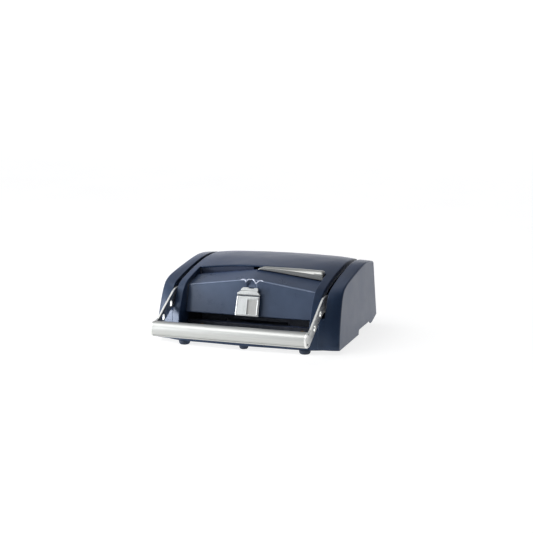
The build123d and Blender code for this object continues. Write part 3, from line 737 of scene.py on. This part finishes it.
# ----------------------------------------------------------- centre cover
def centre_cover():
    OH, EDGE, RR, RS = 159.0, 117.0, 2.0, 1.2
    half = [0, 8, 16, 24, 32, 40, 48, 56, 64, 72, 80, 88, 96, 104, 112, 120, 128, 136, 144, 150.4, 155,
            OH, OH + 0.15, OH + 0.6, OH + 1.2, OH + 2.0, 164, 168, 172, 175, 178.5 - RS, 178.5 - RS * 0.3, 178.5]
    xs = [-x for x in reversed(half[1:])] + half
    verts, faces, idx = [], [], {}

    def v(key, p):
        if key not in idx:
            idx[key] = len(verts)
            verts.append(p)
        return idx[key]

    def drop_rec(x, y, on_front):
        dx = abs(x) - OH
        dy = (y - EDGE) if not on_front else -99.0
        if dx >= 0 and dy <= 0:
            d = dx
        elif dx < 0:
            d = dy
        else:
            d = math.hypot(dx, dy)
        if d >= RR:
            return 0.0
        return RR - math.sqrt(max(0.0, RR * RR - (RR - d) ** 2))

    def drop_slot(x):
        d = 178.5 - abs(x)
        if d >= RS:
            return 0.0
        return RS - math.sqrt(max(0.0, RS * RS - (RS - d) ** 2))

    # rows: cheek rows as a share of the way to the roof's front edge, then roof rows by y
    cheek = [0.0]
    src = row_list(0)
    t110 = t_at_y(168, EDGE)
    cheek = [r / t110 for r in src if r < t110 - 0.1]
    roof_y = [117, 117.15, 117.6, 118.2, 119, 121, 124.5, 130, 137, 145, 154, 164, 175, 187, 200, 214, 228, 242, 256, 270, 283, 295, 306, 315, 320]
    rows = [("c", f) for f in cheek] + [("y", y) for y in roof_y] + \
        [("t", t) for t in (15.25, 15.5, 15.75, 16.0, 16.2, 16.4, 16.6, 16.8)] + \
        [("w", z) for z in (151.5, 146, 140.4, 120, 100, 80, 60, 40, 21.6, 15, 10)]

    def pos(i, x):
        kind, val = rows[i]
        sd = drop_slot(x)
        if kind == "c":
            t = val * t_at_y(x, EDGE)
            y, z = S(x, t)
            ny, nz = N(x, t)
            d = max(drop_rec(x, y, True), sd if z > 82 else 0.0)
        elif kind == "y":
            t = t_at_y(x, val)
            y, z = S(x, t)
            ny, nz = N(x, t)
            d = max(drop_rec(x, val, False), sd)
        elif kind == "t":
            t0 = t_at_y(x, 320)
            t = t0 + (17.0 - t0) * (val - 15.0) / 2.0
            y, z = S(x, t)
            ny, nz = N(x, t)
            d = sd
        else:
            y, z = rear_pt(val)
            ny, nz = RN
            d = sd
        return (x, y - ny * d, z - nz * d)

    ne = rows.index(("y", 117))
    for i in range(len(rows) - 1):
        for j in range(len(xs) - 1):
            xa, xb = xs[j], xs[j + 1]
            if i < ne and min(abs(xa), abs(xb)) < OH - 1e-6:
                continue
            xm = (xa + xb) / 2
            if rows[i][0] == "w" and rows[i + 1][0] == "w" and abs(xm) < 150.4 and rows[i][1] <= 140.4 + 1e-6 and rows[i + 1][1] >= 21.6 - 1e-6:
                continue
            q = [(i, j), (i, j + 1), (i + 1, j + 1), (i + 1, j)]
            faces.append(tuple(v(("g",) + k, pos(k[0], xs[k[1]])) for k in q))
    # lips along both slots
    for side in (0, len(xs) - 1):
        for i in range(len(rows) - 1):
            ids = []
            for ii, deep in ((i, False), (i, True), (i + 1, True), (i + 1, False)):
                if not deep:
                    ids.append(v(("g", ii, side), pos(ii, xs[side])))
                else:
                    kind, val = rows[ii]
                    x = xs[side]
                    if kind == "c":
                        p = surf_point(x, val * t_at_y(x, EDGE), 14.0)
                    elif kind == "y":
                        p = surf_point(x, t_at_y(x, val), 14.0)
                    elif kind == "t":
                        p = surf_point(x, t_at_y(x, 320), 14.0)
                        p = (p[0], min(p[1], 316.5), p[2])
                    else:
                        p = surf_point(x, ("w", val), 14.0)
                        p = (p[0], p[1], min(p[2], 150.0))
                    ids.append(v(("l", ii, side), p))
            faces.append(tuple(ids))
    # the roof's front edge turns down
    for j in range(len(xs) - 1):
        if max(abs(xs[j]), abs(xs[j + 1])) > OH + 1e-6:
            continue
        ids = []
        for jj, deep in ((j, False), (j, True), (j + 1, True), (j + 1, False)):
            p = pos(ne, xs[jj])
            if deep:
                ids.append(v(("f", jj), (p[0], p[1] + 0.3, p[2] - 2.4)))
            else:
                ids.append(v(("g", ne, jj), p))
        faces.append(tuple(ids))
    # side walls of the recess
    for sgn in (-1, 1):
        j = xs.index(sgn * OH)
        ring = [idx[("g", i, j)] for i in range(ne + 1)]
        back = [(118.5, 159.0), (118.5, 66.0), (38.5, 63.0), (38.5, 14.0), (-17.0, 14.0)]
        ids = []
        for y, z in back:
            verts.append((sgn * OH, y, z))
            ids.append(len(verts) - 1)
        faces.append(tuple(ring + ids))
    ob = build("centre_cover_shell", verts, faces, NAVY, "machine", "casing_plastic", "centre_cover")
    tidy(ob)
    face_out(ob, lambda c: Vector((0, c.y - 0.07, c.z - 0.04)) if abs(c.x) < 0.15 else Vector((0, -0.3, 0.6)))
    solidify(ob, 2.2)
    weighted(ob)
    return ob


centre_cover()

# ----------------------------------------------------------- front panel
PX = 157.0
R_SIDE, R_MID = (41.0, 133.0), (44.0, 153.0)
T_SIDE, T_MID = (100.0, 147.0), (105.0, 165.5)
B_LOW = (18.0, 70.0)
SY, SZ = R_MID[0] - B_LOW[0], R_MID[1] - B_LOW[1]
SL = math.hypot(SY, SZ)
SY, SZ = SY / SL, SZ / SL


def vee(x, width=14.0):
    """|x| with a soft middle."""
    return (math.sqrt(x * x + width * width) - width) / (math.sqrt(PX * PX + width * width) - width)


def lerp2(a, b, t):
    return (a[0] + (b[0] - a[0]) * t, a[1] + (b[1] - a[1]) * t)


def panel_rows(x):
    t = vee(x)
    r = lerp2(R_MID, R_SIDE, t)
    k = lerp2(T_MID, T_SIDE, t)
    b = B_LOW
    poly = [(b[0] + 13.0, b[1] + 0.6), (b[0] + 1.0, b[1]), r, k, (k[0] + 0.8, k[1] - 11.0)]
    rad = [0, 2.2, 8.5, 1.6, 0]
    out = []
    for i, p in enumerate(poly):
        if rad[i] == 0:
            out.append(p)
            continue
        a, c = Vector(poly[i - 1]), Vector(poly[i + 1])
        P = Vector(p)
        u, w = (a - P).normalized(), (c - P).normalized()
        ang = math.acos(max(-1, min(1, u.dot(w))))
        d = rad[i] / math.tan(ang / 2)
        d = min(d, 9.0)
        s, e = P + u * d, P + w * d
        if i == 2:
            # rows up the front facet before the ridge
            lo = Vector(out[-1])
            for q in (0.12, 0.30, 0.42, 0.55, 0.7, 0.80, 0.86, 0.92):
                out.append(tuple(lo + (s - lo) * q))
        if i == 3:
            lo = Vector(out[-1])
            for q in (0.1, 0.25, 0.4, 0.55, 0.7, 0.85):
                out.append(tuple(lo + (s - lo) * q))
        n = 7 if i == 2 else 4
        for m in range(n + 1):
            q = m / n
            out.append(tuple(s * (1 - q) ** 2 + P * 2 * q * (1 - q) + e * q * q))
    return out


def on_panel(x, s, n):
    """Panel axes: s up the slope at the middle, n out of its face."""
    return (x, B_LOW[0] + s * SY - n * SZ, B_LOW[1] + s * SZ + n * SY)


def front_panel():
    xs = sorted(set([round(v, 3) for v in np.linspace(-156.4, 156.4, 93)] + [-156.8, 156.8, -9, 9, -15.6, -13, -10.5, -8, -5.5, -3, 0, 3, 5.5, 8, 10.5, 13, 15.6, -20, 20, -24, 24]))
    cols = [panel_rows(x) for x in xs]
    nr = len(cols[0])
    verts, faces = [], []
    for ci, x in enumerate(xs):
        for ri, (y, z) in enumerate(cols[ci]):
            # arch-shaped hollow where the slide's track meets the ridge
            d = 0.0
            s = (y - B_LOW[0]) * SY + (z - B_LOW[1]) * SZ
            if abs(x - 1.5) < 13.5 and s > 69.0 and y < 56:
                w = math.hypot((x - 1.5) / 12.5, (s - 74.5) / 13.5) if s > 74.5 else abs(x - 1.5) / 12.5
                if w < 1:
                    d = 4.2 * min(1.0, (1 - w) * 3.2) * min(1.0, (s - 68.5) / 6.0)
            if abs(x) > 156.5:
                d = max(d, 0.4)
            verts.append((x, y + d * SZ, z - d * SY))
    for ci in range(len(xs) - 1):
        for ri in range(nr - 1):
            # slot the slide's carrier runs in
            up = [(y - B_LOW[0]) * SY + (z - B_LOW[1]) * SZ for y, z in cols[ci][ri:ri + 2]]
            if abs(xs[ci] + xs[ci + 1]) < 18 and min(up) > 22 and max(up) < 67.4:
                continue
            a = ci * nr + ri
            faces.append((a, a + nr, a + nr + 1, a + 1))
    ob = build("front_panel_shell", verts, faces, NAVY_PANEL, "machine", "casing_plastic", "front_panel")
    tidy(ob)
    # crown of the ridge in a lighter, glossier navy: the lighter colour is a painted highlight along the crown
    ob.data.materials.append(RIDGE_PAINTED_HIGHLIGHT)
    for p in ob.data.polygons:
        c = p.center * 1000
        t = vee(c.x)
        r = lerp2(R_MID, R_SIDE, t)
        if math.hypot(c.y - Y0 - r[0], c.z - r[1]) < 2.1:
            p.material_index = 1
    face_out(ob, lambda c: Vector((0, -0.7, 0.7)))
    solidify(ob, 2.2)
    weighted(ob)
    return ob


front_panel()


def tube(path, r, n=10, cap=True, closed=False):
    """Round bead along 3-D points, in mm."""
    P = [Vector(p) for p in path]
    verts, faces, rings = [], [], []
    up = Vector((0.0, SZ * -1.0, SY))
    for i, p in enumerate(P):
        a = P[i - 1] if (i > 0 or closed) else P[i]
        b = P[(i + 1) % len(P)] if (i < len(P) - 1 or closed) else P[i]
        d = (b - a).normalized()
        u = d.cross(up)
        if u.length < 1e-4:
            u = d.orthogonal()
        u.normalize()
        w = d.cross(u).normalized()
        rr = r[i] if isinstance(r, (list, tuple)) else r
        ring = []
        for k in range(n):
            t = 2 * math.pi * k / n
            verts.append(tuple(p + (u * math.cos(t) + w * math.sin(t)) * rr))
            ring.append(len(verts) - 1)
        rings.append(ring)
    m = len(rings)
    for i in range(m if closed else m - 1):
        r0, r1 = rings[i], rings[(i + 1) % m]
        for k in range(n):
            j = (k + 1) % n
            faces.append((r0[k], r0[j], r1[j], r1[k]))
    if cap and not closed:
        faces.append(tuple(reversed(rings[0])))
        faces.append(tuple(rings[-1]))
    return verts, faces


def ridge_pt(x, up=0.0, fwd=0.0):
    t = vee(x)
    r = lerp2(R_MID, R_SIDE, t)
    return (x, r[0] + fwd, r[1] + up)


# moulded rim round the track hollow, with a small scallop each side; its near-white colour is a painted highlight on
# the hollow's edge
rim = [(-29, 83.6), (-26.5, 84.6), (-22, 85.4), (-17.5, 84.9), (-14.8, 82.6), (-13.2, 79.6), (-11.8, 82.6), (-9.5, 85.6),
       (-5.5, 86.6), (-2.4, 86.8), (0.2, 87.0), (3.4, 86.4), (7.2, 83.6), (10.0, 80.2), (12.6, 77.4), (14.4, 80.0), (17.2, 83.2),
       (20.8, 84.9), (25.2, 85.2), (29.0, 83.6)]
rim_r = [0.5, 1.2, 1.75, 1.6, 1.2, 0.8, 0.9, 1.5, 1.5, 0.75, 1.2, 1.8, 1.7, 1.5, 1.1, 1.2, 1.5, 1.75, 1.4, 0.5]
path4 = smooth_loop([on_panel(x, s_, -1.6 if s_ > 84 else 0.0) + (r_,) for (x, s_), r_ in zip(rim, rim_r)], 6, closed=False)
path = [p[:3] for p in path4]
rad = [max(0.35, p[3]) for p in path4]
# near-white plastic for the rim: a painted highlight
RIM_PAINTED_HIGHLIGHT = plastic("rim_painted_highlight", rgb(196, 202, 218), rgb(184, 190, 208), rgb(214, 218, 230), rough=(0.16, 0.22), wear=0.1, spec=0.7, coat=0.6)
ob = build("track_rim", *tube(path, rad, 12), RIM_PAINTED_HIGHLIGHT, "machine", "casing_plastic")
tidy(ob)

# ----------------------------------------------------------- base apron
def base_apron():
    xs = list(np.linspace(-158.4, 158.4, 61))
    verts, faces = [], []
    nr = 0
    for x in xs:
        yb = station_pts(x)[0][0]
        poly = [(yb + 4.0, 10.0), (yb + 0.3, 10.0), (yb + 1.2, 40), (yb + 2.4, 47.0), (-3.7, 47.0), (-3.7, 44.6)]
        rad = [0, 1.2, 20, 3.0, 1.0, 0]
        loop = []
        for i, p in enumerate(poly):
            if rad[i] == 0:
                loop.append(p)
                continue
            a, c, P = Vector(poly[i - 1]), Vector(poly[i + 1]), Vector(p)
            u, w = (a - P), (c - P)
            d = min({1.2: 1.2, 20: 3.0, 3.0: 3.0, 1.0: 0.9}[rad[i]], u.length * 0.45, w.length * 0.45)
            u.normalize(); w.normalize()
            s, e = P + u * d, P + w * d
            for m_ in range(5):
                q = m_ / 4
                loop.append(tuple(s * (1 - q) ** 2 + P * 2 * q * (1 - q) + e * q * q))
        nr = len(loop)
        for y, z in loop:
            verts.append((x, y, z))
    for ci in range(len(xs) - 1):
        for ri in range(nr - 1):
            a = ci * nr + ri
            faces.append((a, a + nr, a + nr + 1, a + 1))
    ob = build("base_apron_shell", verts, faces, NAVY, "machine", "casing_plastic", "base_apron")
    tidy(ob)
    face_out(ob, lambda c: Vector((0, -0.8, 0.5)))
    solidify(ob, 2.0)
    weighted(ob)
    return ob


base_apron()

# ----------------------------------------------------------- handle bar
BAR = [(-96, 70), (-104, 72), (-111, 71.4), (-117, 68.8), (-121.8, 64.2), (-124.4, 58.6), (-125, 53), (-123.6, 47.4)]


def bar_loop():
    upper = smooth_loop([(-95.2, 66), (-96.4, 70.2), (-104, 72), (-111, 71.3), (-117, 68.7), (-121.8, 64.2), (-124.4, 58.6),
                         (-125, 53), (-123.9, 47.6), (-122.0, 44.6)], 6, closed=False)
    groove = [(-121.2, 43.9), (-119.6, 43.7), (-119.0, 43.2), (-119.3, 42.6), (-120.4, 42.2), (-120.2, 41.5)]
    lower = smooth_loop([(-119.2, 40.4), (-116.4, 38.9), (-112, 38.1), (-104, 38), (-98, 39.2), (-95.3, 42.6)], 5, closed=False)
    back = [(-95, 46), (-95, 52), (-94.6, 52.6), (-94.6, 57.4), (-95, 58), (-95, 64)]
    return upper + groove + lower + back


AIN, AOUT = 180.0, 185.0
bl = bar_loop()
bar = slab("handle_bar_profile", bl, [], -AIN + 0.02, AIN - 0.02, "X", ALU_X, "handle", "handle_bar", ch=0.25, seg=1)

# ----------------------------------------------------------- handle arms
ARM_TOP = [(-104, 72), (-98, 70.4), (-85, 73.4), (-46, 95.6), (-20, 109.8), (2, 121.8), (14, 126), (30, 127.6), (44, 128)]
ARM_IN = [(76, 117), (124, 92), (158, 77), (165, 69), (166, 60), (161, 50), (150, 45), (139, 50),
          (120, 60), (84, 76), (48, 91), (14, 91.5), (-4, 86)]
ARM_LOW = [(-19, 78.6), (-45, 65.4), (-70, 52.8), (-96, 39.4), (-100, 38.4)]
ARM_END = [(-112, 38), (-117, 39.2), (-120.9, 43.2), (-123.6, 47.4), (-125, 53), (-124.4, 58.6),
           (-121.8, 64.2), (-117, 68.8), (-111, 71.4)]
PORTS = [(-104, 65.6), (-113.0, 44.4)]
arm_loop = round_poly(ARM_TOP + ARM_IN + ARM_LOW + ARM_END, 6.0, 3)
arm_holes = [circle(-15, 95, 7.0, 40), circle(-59, 71, 7.0, 40)]
slab("right_arm_plate", arm_loop, arm_holes, AIN, AOUT, "X", ALU_ARM, "handle", "right_arm", ch=0.6)
slab("left_arm_plate", arm_loop, arm_holes, -AOUT, -AIN, "X", ALU_ARM, "handle", "left_arm", ch=0.6)


def screw_head(c, axis, r, h, kind="hex"):
    """Button head with a round socket recess."""
    prof = [(r * 0.98, 0.0), (r, h * 0.18), (r * 0.97, h * 0.5), (r * 0.86, h * 0.82), (r * 0.68, h), (r * 0.50, h),
            (r * 0.46, h * 0.96), (r * 0.42, h * 0.45), (0, h * 0.35)]
    return lathe("", prof, c, axis, None, None, None, n=24)


parts = []
for s in (-1, 1):
    for y, z in PORTS:
        parts.append(screw_head((s * AOUT, y, z), (s, 0, 0), 4.2, 2.2))
ob = build("handle_screw_heads", *join(parts), ZINC, "handle", "zinc_screw", "handle_screws")
tidy(ob)
weighted(ob)


# ----------------------------------------------------------- centre slide
def panel_slab(name, loop, n0, n1, mat, node=None, ch=1.0, seg=3, holes=()):
    return slab(name, loop, list(holes), n0, n1, "N", mat, "centre_slide", node, ch=ch, seg=seg,
                place=lambda x, s, n: on_panel(x, s, n))


def rect(x0, x1, y0, y1, r=2.0, n=4):
    return round_poly([(x0, y0), (x1, y0), (x1, y1), (x0, y1)], r, n)


S0, S1 = -0.8, 45.8
WB, WT = 28.9, 28.2


def skirt_ring(ins, n, r=2.0):
    pts = round_poly([(-WB + ins, S0 + ins), (WB - ins, S0 + ins), (WT - ins, S1 - ins), (-WT + ins, S1 - ins)], max(0.2, r - ins * 0.5), 4)
    return [on_panel(x, s, n) for x, s in pts]


def rings_solid(rings):
    verts, faces = [], []
    n = len(rings[0])
    for r in rings:
        verts += r
    for i in range(len(rings) - 1):
        for k in range(n):
            j = (k + 1) % n
            faces.append((i * n + k, i * n + j, (i + 1) * n + j, (i + 1) * n + k))
    faces.append(tuple(reversed(range(n))))
    faces.append(tuple((len(rings) - 1) * n + k for k in range(n)))
    return verts, faces


# block behind the plate, in place of the slide body, in the dark navy material: its sides are painted shade on the
# slide's side walls
ob = build("slide_body_block", *rings_solid([skirt_ring(1.4, 0.5), skirt_ring(0.7, 1.2), skirt_ring(0.55, 8.0), skirt_ring(1.2, 8.8)]),
           BLACK, "centre_slide", "satin_aluminium", "slide_body")
tidy(ob)
weighted(ob)


def slide_plate():
    """Bright pressing's border all round, open at the front; the wide facet at the left and the sunk field at the
    right are made in slide_front.
    """
    prof = [(1.4, 8.3), (0.15, 8.3), (0.0, 8.7), (0.0, 11.3), (0.25, 12.0), (0.8, 12.4), (1.6, 12.5), (2.3, 12.5)]
    v, f = rings_solid([skirt_ring(i, n) for i, n in prof])
    return v, f[:-1]


PLATE = slide_plate()
SX0, SX1, SS0, SS1 = -26.55, 26.55, 1.5, 43.5


def slide_front():
    """Front of the plate between its borders, as one stepped sheet."""
    xs = [SX0, -25.6, -25.0, -24.4, -18, -12, -6, -2.6, -1.6, -0.9, -0.2, 0.5, 6, 12, 18, 22.4, 23.0, 23.5, 24.2, SX1]
    ss = [SS0, 2.3, 2.9, 3.5, 4.2, 12, 20, 28, 34, 36.6, 37.3, 38.0, 38.7, 40.4, 41.2, 42.2, SS1]
    verts, faces = [], []
    for x in xs:
        for s_ in ss:
            n = 12.5
            if x <= -0.9:
                inside = -25.2 < x < -0.9 and 2.6 < s_ < 41.0
                if inside:
                    n = 12.15 + 0.25 * (x + 24.4) / 23.0
            if x > -0.5 and x < 23.4 and 3.2 < s_ < 38.4:
                n = 11.35 if (0.2 < x < 23.2 and 3.4 < s_ < 37.6) else 12.0
            verts.append(on_panel(x, s_, n))
    m = len(ss)
    for i in range(len(xs) - 1):
        for j in range(m - 1):
            faces.append((i * m + j, (i + 1) * m + j, (i + 1) * m + j + 1, i * m + j + 1))
    return verts, faces


ob = build("slide_plate_border", *PLATE, ALU_SLIDE, "centre_slide", "satin_aluminium")
tidy(ob)
weighted(ob)
ob = build("slide_plate_front", *slide_front(), ALU_SLIDE, "centre_slide", "satin_aluminium")
face_out(ob, lambda c: Vector((0, -0.95, 0.3)))
# the sunk field at the right gets the darker aluminium copy: painted shade
ob.data.materials.append(ALU_FIELD_PAINTED_SHADE)
for p in ob.data.polygons:
    if 0.0003 < p.center.x < 0.0232 and 0.0034 < (p.center.y - (B_LOW[0] + Y0) * 0.001) * SY + (p.center.z - B_LOW[1] * 0.001) * SZ < 0.0376:
        p.material_index = 1
solidify(ob, 1.6)
weighted(ob)
cap = round_poly([(-28.5, 47.4), (28.5, 47.4), (28.5, 52.2), (21.0, 58.0), (-21.0, 58.0), (-28.5, 52.2)], [1.2, 1.2, 3.0, 4.0, 4.0, 3.0], 5)
panel_slab("slide_cap_knob", cap, 1.0, 14.0, ALU_SLIDE, "slide_cap", ch=2.2, seg=4)
# the neck is in the dark navy material so the groove between cap and plate reads dark: painted shade
panel_slab("slide_neck", rect(-24, 25, 45.0, 48.2, 0.4), 0.9, 9.6, BLACK, None, ch=0.2)
col = round_poly([(-20.5, 57.9), (22.0, 57.9), (22.5, 62.5), (20.5, 66.0), (13.5, 66.0), (10, 64.2), (0.5, 64.2), (-2.5, 66.2), (-15.5, 66.4), (-20.5, 62.0)],
                 [0.3, 0.3, 1.5, 1.8, 1.5, 2, 2, 1.5, 1.8, 1.5], 4)
panel_slab("slide_collar_ring", col, 2.6, 10.4, ALU_SLIDE, "slide_collar", ch=1.2, seg=3)


# ----------------------------------------------------------- debinding tool
def facet_top(x):
    return lerp2(T_MID, T_SIDE, vee(x))[1]


def tool():
    """Bent wedge: blunt rounded head at the right, drawn to a point at the left."""
    xs = sorted(set([-7, -6.5, -5.8, -5, -3.5, -1.5, 1, 4, 7, 10] + list(range(15, 150, 7)) + [149, 151, 152.5, 153.8, 154.8, 155.5, 155.9, 156.0]))
    verts, faces = [], []
    rows = None
    for x in xs:
        lo = facet_top(x) + 0.9 + 0.9 * (x + 7) / 163.0
        top = 172.8 - 0.000118 * max(0.0, x - 10) ** 2
        if x < 10:
            f = max(0.0, (x + 7) / 17.0)
            top = lo + 0.4 + (172.8 - lo - 0.4) * (1 - (1 - f) ** 1.7)
        if x > 150:
            f = min(1.0, (x - 150) / 6.0)
            top -= 3.2 * (1 - math.sqrt(max(0.0, 1 - f * f)))
            lo += 0.6 * (1 - math.sqrt(max(0.0, 1 - f * f)))
        # bright upper face widens towards the right
        sh = (0.12 + 0.32 * max(0.0, x) / 156.0)
        split = top - (top - lo) * sh
        r = [(116.2, lo + 0.2), (99.6, lo), (98.3, lo + 0.35), (97.9, lo + 1.0), (98.1, lo + (split - lo) * 0.5), (98.7, split - 0.6),
             (99.2, split - 0.1), (100.2, split + 0.25 * (top - split)), (103.4, split + 0.72 * (top - split)), (106.5, top - 0.25), (109.5, top), (116.1, top - 0.1), (116.4, top - 1.0)]
        rows = len(r)
        for y, z in r:
            z = max(z, lo)
            verts.append((x, y, z))
    for c in range(len(xs) - 1):
        for k in range(rows):
            j = (k + 1) % rows
            a = c * rows
            b = (c + 1) * rows
            faces.append((a + k, a + j, b + j, b + k))
    faces.append(tuple(range(rows)))
    faces.append(tuple(reversed([(len(xs) - 1) * rows + k for k in range(rows)])))
    # blade that reaches back under the roof
    bl_ = []
    pts = [(14, facet_top(14) + 1.4), (80, facet_top(80) + 1.7), (148, facet_top(148) + 2.2), (148, facet_top(148) + 5.8), (80, facet_top(80) + 5.0), (14, facet_top(14) + 4.0)]
    nb = len(pts)
    vv = []
    for y, k in ((116.1, 0.0), (158, 0.0), (166, 0.8)):
        for i, (x, z) in enumerate(pts):
            zz = z + (k if i < 3 else -k)
            vv.append((x, y, zz))
    ff = []
    for c in range(2):
        for k in range(nb):
            j = (k + 1) % nb
            ff.append((c * nb + k, c * nb + j, (c + 1) * nb + j, (c + 1) * nb + k))
    ff.append(tuple(reversed(range(nb))))
    ff.append(tuple(2 * nb + k for k in range(nb)))
    return join([(verts, faces), (vv, ff)])


ob = build("debinding_wedge", *tool(), ALU_TOOL, "stored_tool", "satin_aluminium", "debinding_tool")
tidy(ob)
ob.data.materials.append(ALU_DARK)
for p in ob.data.polygons:
    if p.normal.y < -0.75 and p.normal.z < 0.45 and p.normal.z > -0.6:
        p.material_index = 1
weighted(ob)

# ----------------------------------------------------------- feet
def foot(x, y, r):
    prof = [(0, 5.2), (4.6, 5.2), (4.9, 4.8), (5.0, 0.9), (5.6, 0.25), (6.3, 0.0), (r - 4.2, 0.0), (r - 3.2, 0.15), (r - 2.4, 0.7),
            (r - 1.6, 2.0), (r - 1.2, 2.4), (r - 1.25, 2.9), (r - 0.7, 3.4), (r - 0.15, 6.5), (r, 8.2), (r - 0.1, 9.5), (r - 0.6, 10.0), (0, 10.0)]
    return lathe("", prof, (x, y, 0), "Z", None, None, None, n=56)


for nm, lst in (("front_feet", [(-148, -12, 13.5), (148, -12, 13.5)]), ("centre_foot", [(0, -11, 11)]), ("rear_feet", [(-150, 300, 15.5), (150, 300, 15.5)])):
    ob = build(nm + "_moulding", *join([foot(*q) for q in lst]), RUBBER, "machine", "foot_rubber", nm)
    tidy(ob)
    weighted(ob)

# ----------------------------------------------------------- carried-over nodes
PAINT = {
    "base_plate": POWDER, "left_side_frame": POWDER, "right_side_frame": POWDER, "guide_bar": POWDER,
    "rear_cross_bar": POWDER, "yoke": POWDER, "fixed_jaw": BLACK, "press_jaw": DARK_STEEL, "guide_rods": STEEL,
    "left_cam": STEEL, "right_cam": STEEL, "left_roller": STEEL, "right_roller": STEEL, "roller_pins": STEEL,
    "handle_shaft": STEEL, "hub_collars": STEEL, "shaft_bushes": BRONZE, "guide_bushes": BRONZE,
    "base_screws": ZINC, "foot_screws": ZINC, "frame_bolts": ZINC, "jaw_screws": ZINC, "rear_cover_screws": ZINC,
    "return_springs": SPRING, "retaining_rings": SPRING, "storage_tray": NAVY_DEEP, "spine_rest": BLACK,
    "slide_carrier": BLACK, "rear_cover": NAVY,
}
for n, mt in PAINT.items():
    o = NODES[n]
    o.data.materials.clear()
    o.data.materials.append(mt)

# ----------------------------------------------------------- floor, light, camera
def studio_material(name, glow, lo, hi):
    m = Mat(name)
    nz = m.noise(3.0, 2, 0.5)
    m.link(m.ramp(nz, [(0.3, (lo, lo, lo, 1)), (0.7, (hi, hi, hi, 1))]), m.b.inputs["Base Color"])
    m.b.inputs["Roughness"].default_value = 0.9
    m.b.inputs["Specular IOR Level"].default_value = 0.1
    m.b.inputs["Emission Color"].default_value = (1, 1, 1, 1)
    m.b.inputs["Emission Strength"].default_value = glow
    return m.m


def stage_quad(name, pts, mat):
    me = bpy.data.meshes.new(name)
    me.from_pydata(pts, [], [tuple(range(len(pts)))])
    ob = bpy.data.objects.new(name, me)
    bpy.context.scene.collection.objects.link(ob)
    me.materials.append(mat)
    return ob


stage_quad("floor", [(-14, -8, 0), (14, -8, 0), (14, 9, 0), (-14, 9, 0)], studio_material("floor_pale", 0.80, 0.34, 0.37))
stage_quad("backdrop", [(-14, 9, 0), (14, 9, 0), (14, 9, 1.9), (-14, 9, 1.9)], studio_material("backdrop_pale", 1.05, 0.60, 0.64))


def area(name, loc, target, size, power, color=(1, 1, 1)):
    L = bpy.data.lights.new(name, "AREA")
    L.shape = "RECTANGLE"
    L.size, L.size_y = size
    L.energy = power
    L.color = color
    o = bpy.data.objects.new(name, L)
    bpy.context.scene.collection.objects.link(o)
    o.location = loc
    o.rotation_mode = "QUATERNION"
    o.rotation_quaternion = (Vector(loc) - Vector(target)).to_track_quat("Z", "Y")
    return o


area("left_card", (-1.45, -0.80, 0.12), (-0.1, -0.1, 0.08), (1.0, 0.62), 36, (0.96, 0.97, 1.0))
area("front_card", (-0.98, -1.34, 0.74), (-0.12, -0.08, 0.11), (0.44, 0.40), 2.6, (0.97, 0.98, 1.0))
area("top", (-0.9, -0.75, 2.3), (0, -0.05, 0.1), (2.2, 1.1), 15)

W = bpy.data.worlds.new("studio")
bpy.context.scene.world = W
W.use_nodes = True
wt = W.node_tree
wt.nodes.clear()
wo = wt.nodes.new("ShaderNodeOutputWorld")
wb = wt.nodes.new("ShaderNodeBackground")
wc = wt.nodes.new("ShaderNodeTexCoord")
sep = wt.nodes.new("ShaderNodeSeparateXYZ")
wt.links.new(wc.outputs["Generated"], sep.inputs[0])


def wmap(sock, a, b, lo, hi):
    r = wt.nodes.new("ShaderNodeMapRange")
    r.interpolation_type = "SMOOTHSTEP"
    r.inputs[1].default_value = a
    r.inputs[2].default_value = b
    r.inputs[3].default_value = lo
    r.inputs[4].default_value = hi
    wt.links.new(sock, r.inputs[0])
    return r.outputs[0]


def wmul(a, b):
    m = wt.nodes.new("ShaderNodeMath")
    m.operation = "MULTIPLY"
    wt.links.new(a, m.inputs[0])
    wt.links.new(b, m.inputs[1])
    return m.outputs[0]


left = wmap(sep.outputs["X"], -0.6, 0.5, 1.0, 0.16)
up = wmap(sep.outputs["Z"], 0.0, 0.9, 0.85, 0.95)
back = wmap(sep.outputs["Y"], 0.1, 0.7, 1.0, 0.62)
wt.links.new(wmul(wmul(left, up), back), wb.inputs["Strength"])
wb.inputs["Color"].default_value = (0.96, 0.975, 1.0, 1)
wt.links.new(wb.outputs[0], wo.inputs[0])

bpy.context.scene.view_settings.view_transform = "Standard"

cam = bpy.data.cameras.new("camera")
cam.sensor_width = 36.0
cam.lens = 81.05
cam.clip_start, cam.clip_end = 0.05, 50
co = bpy.data.objects.new("camera", cam)
bpy.context.scene.collection.objects.link(co)
TH, PH = 0.33338641, 0.17187470
co.location = M(933.383, -2546.237, 661.238)
d = Vector((-math.sin(TH) * math.cos(PH), math.cos(TH) * math.cos(PH), -math.sin(PH)))
co.rotation_mode = "QUATERNION"
co.rotation_quaternion = d.to_track_quat("-Z", "Y")
bpy.context.scene.camera = co
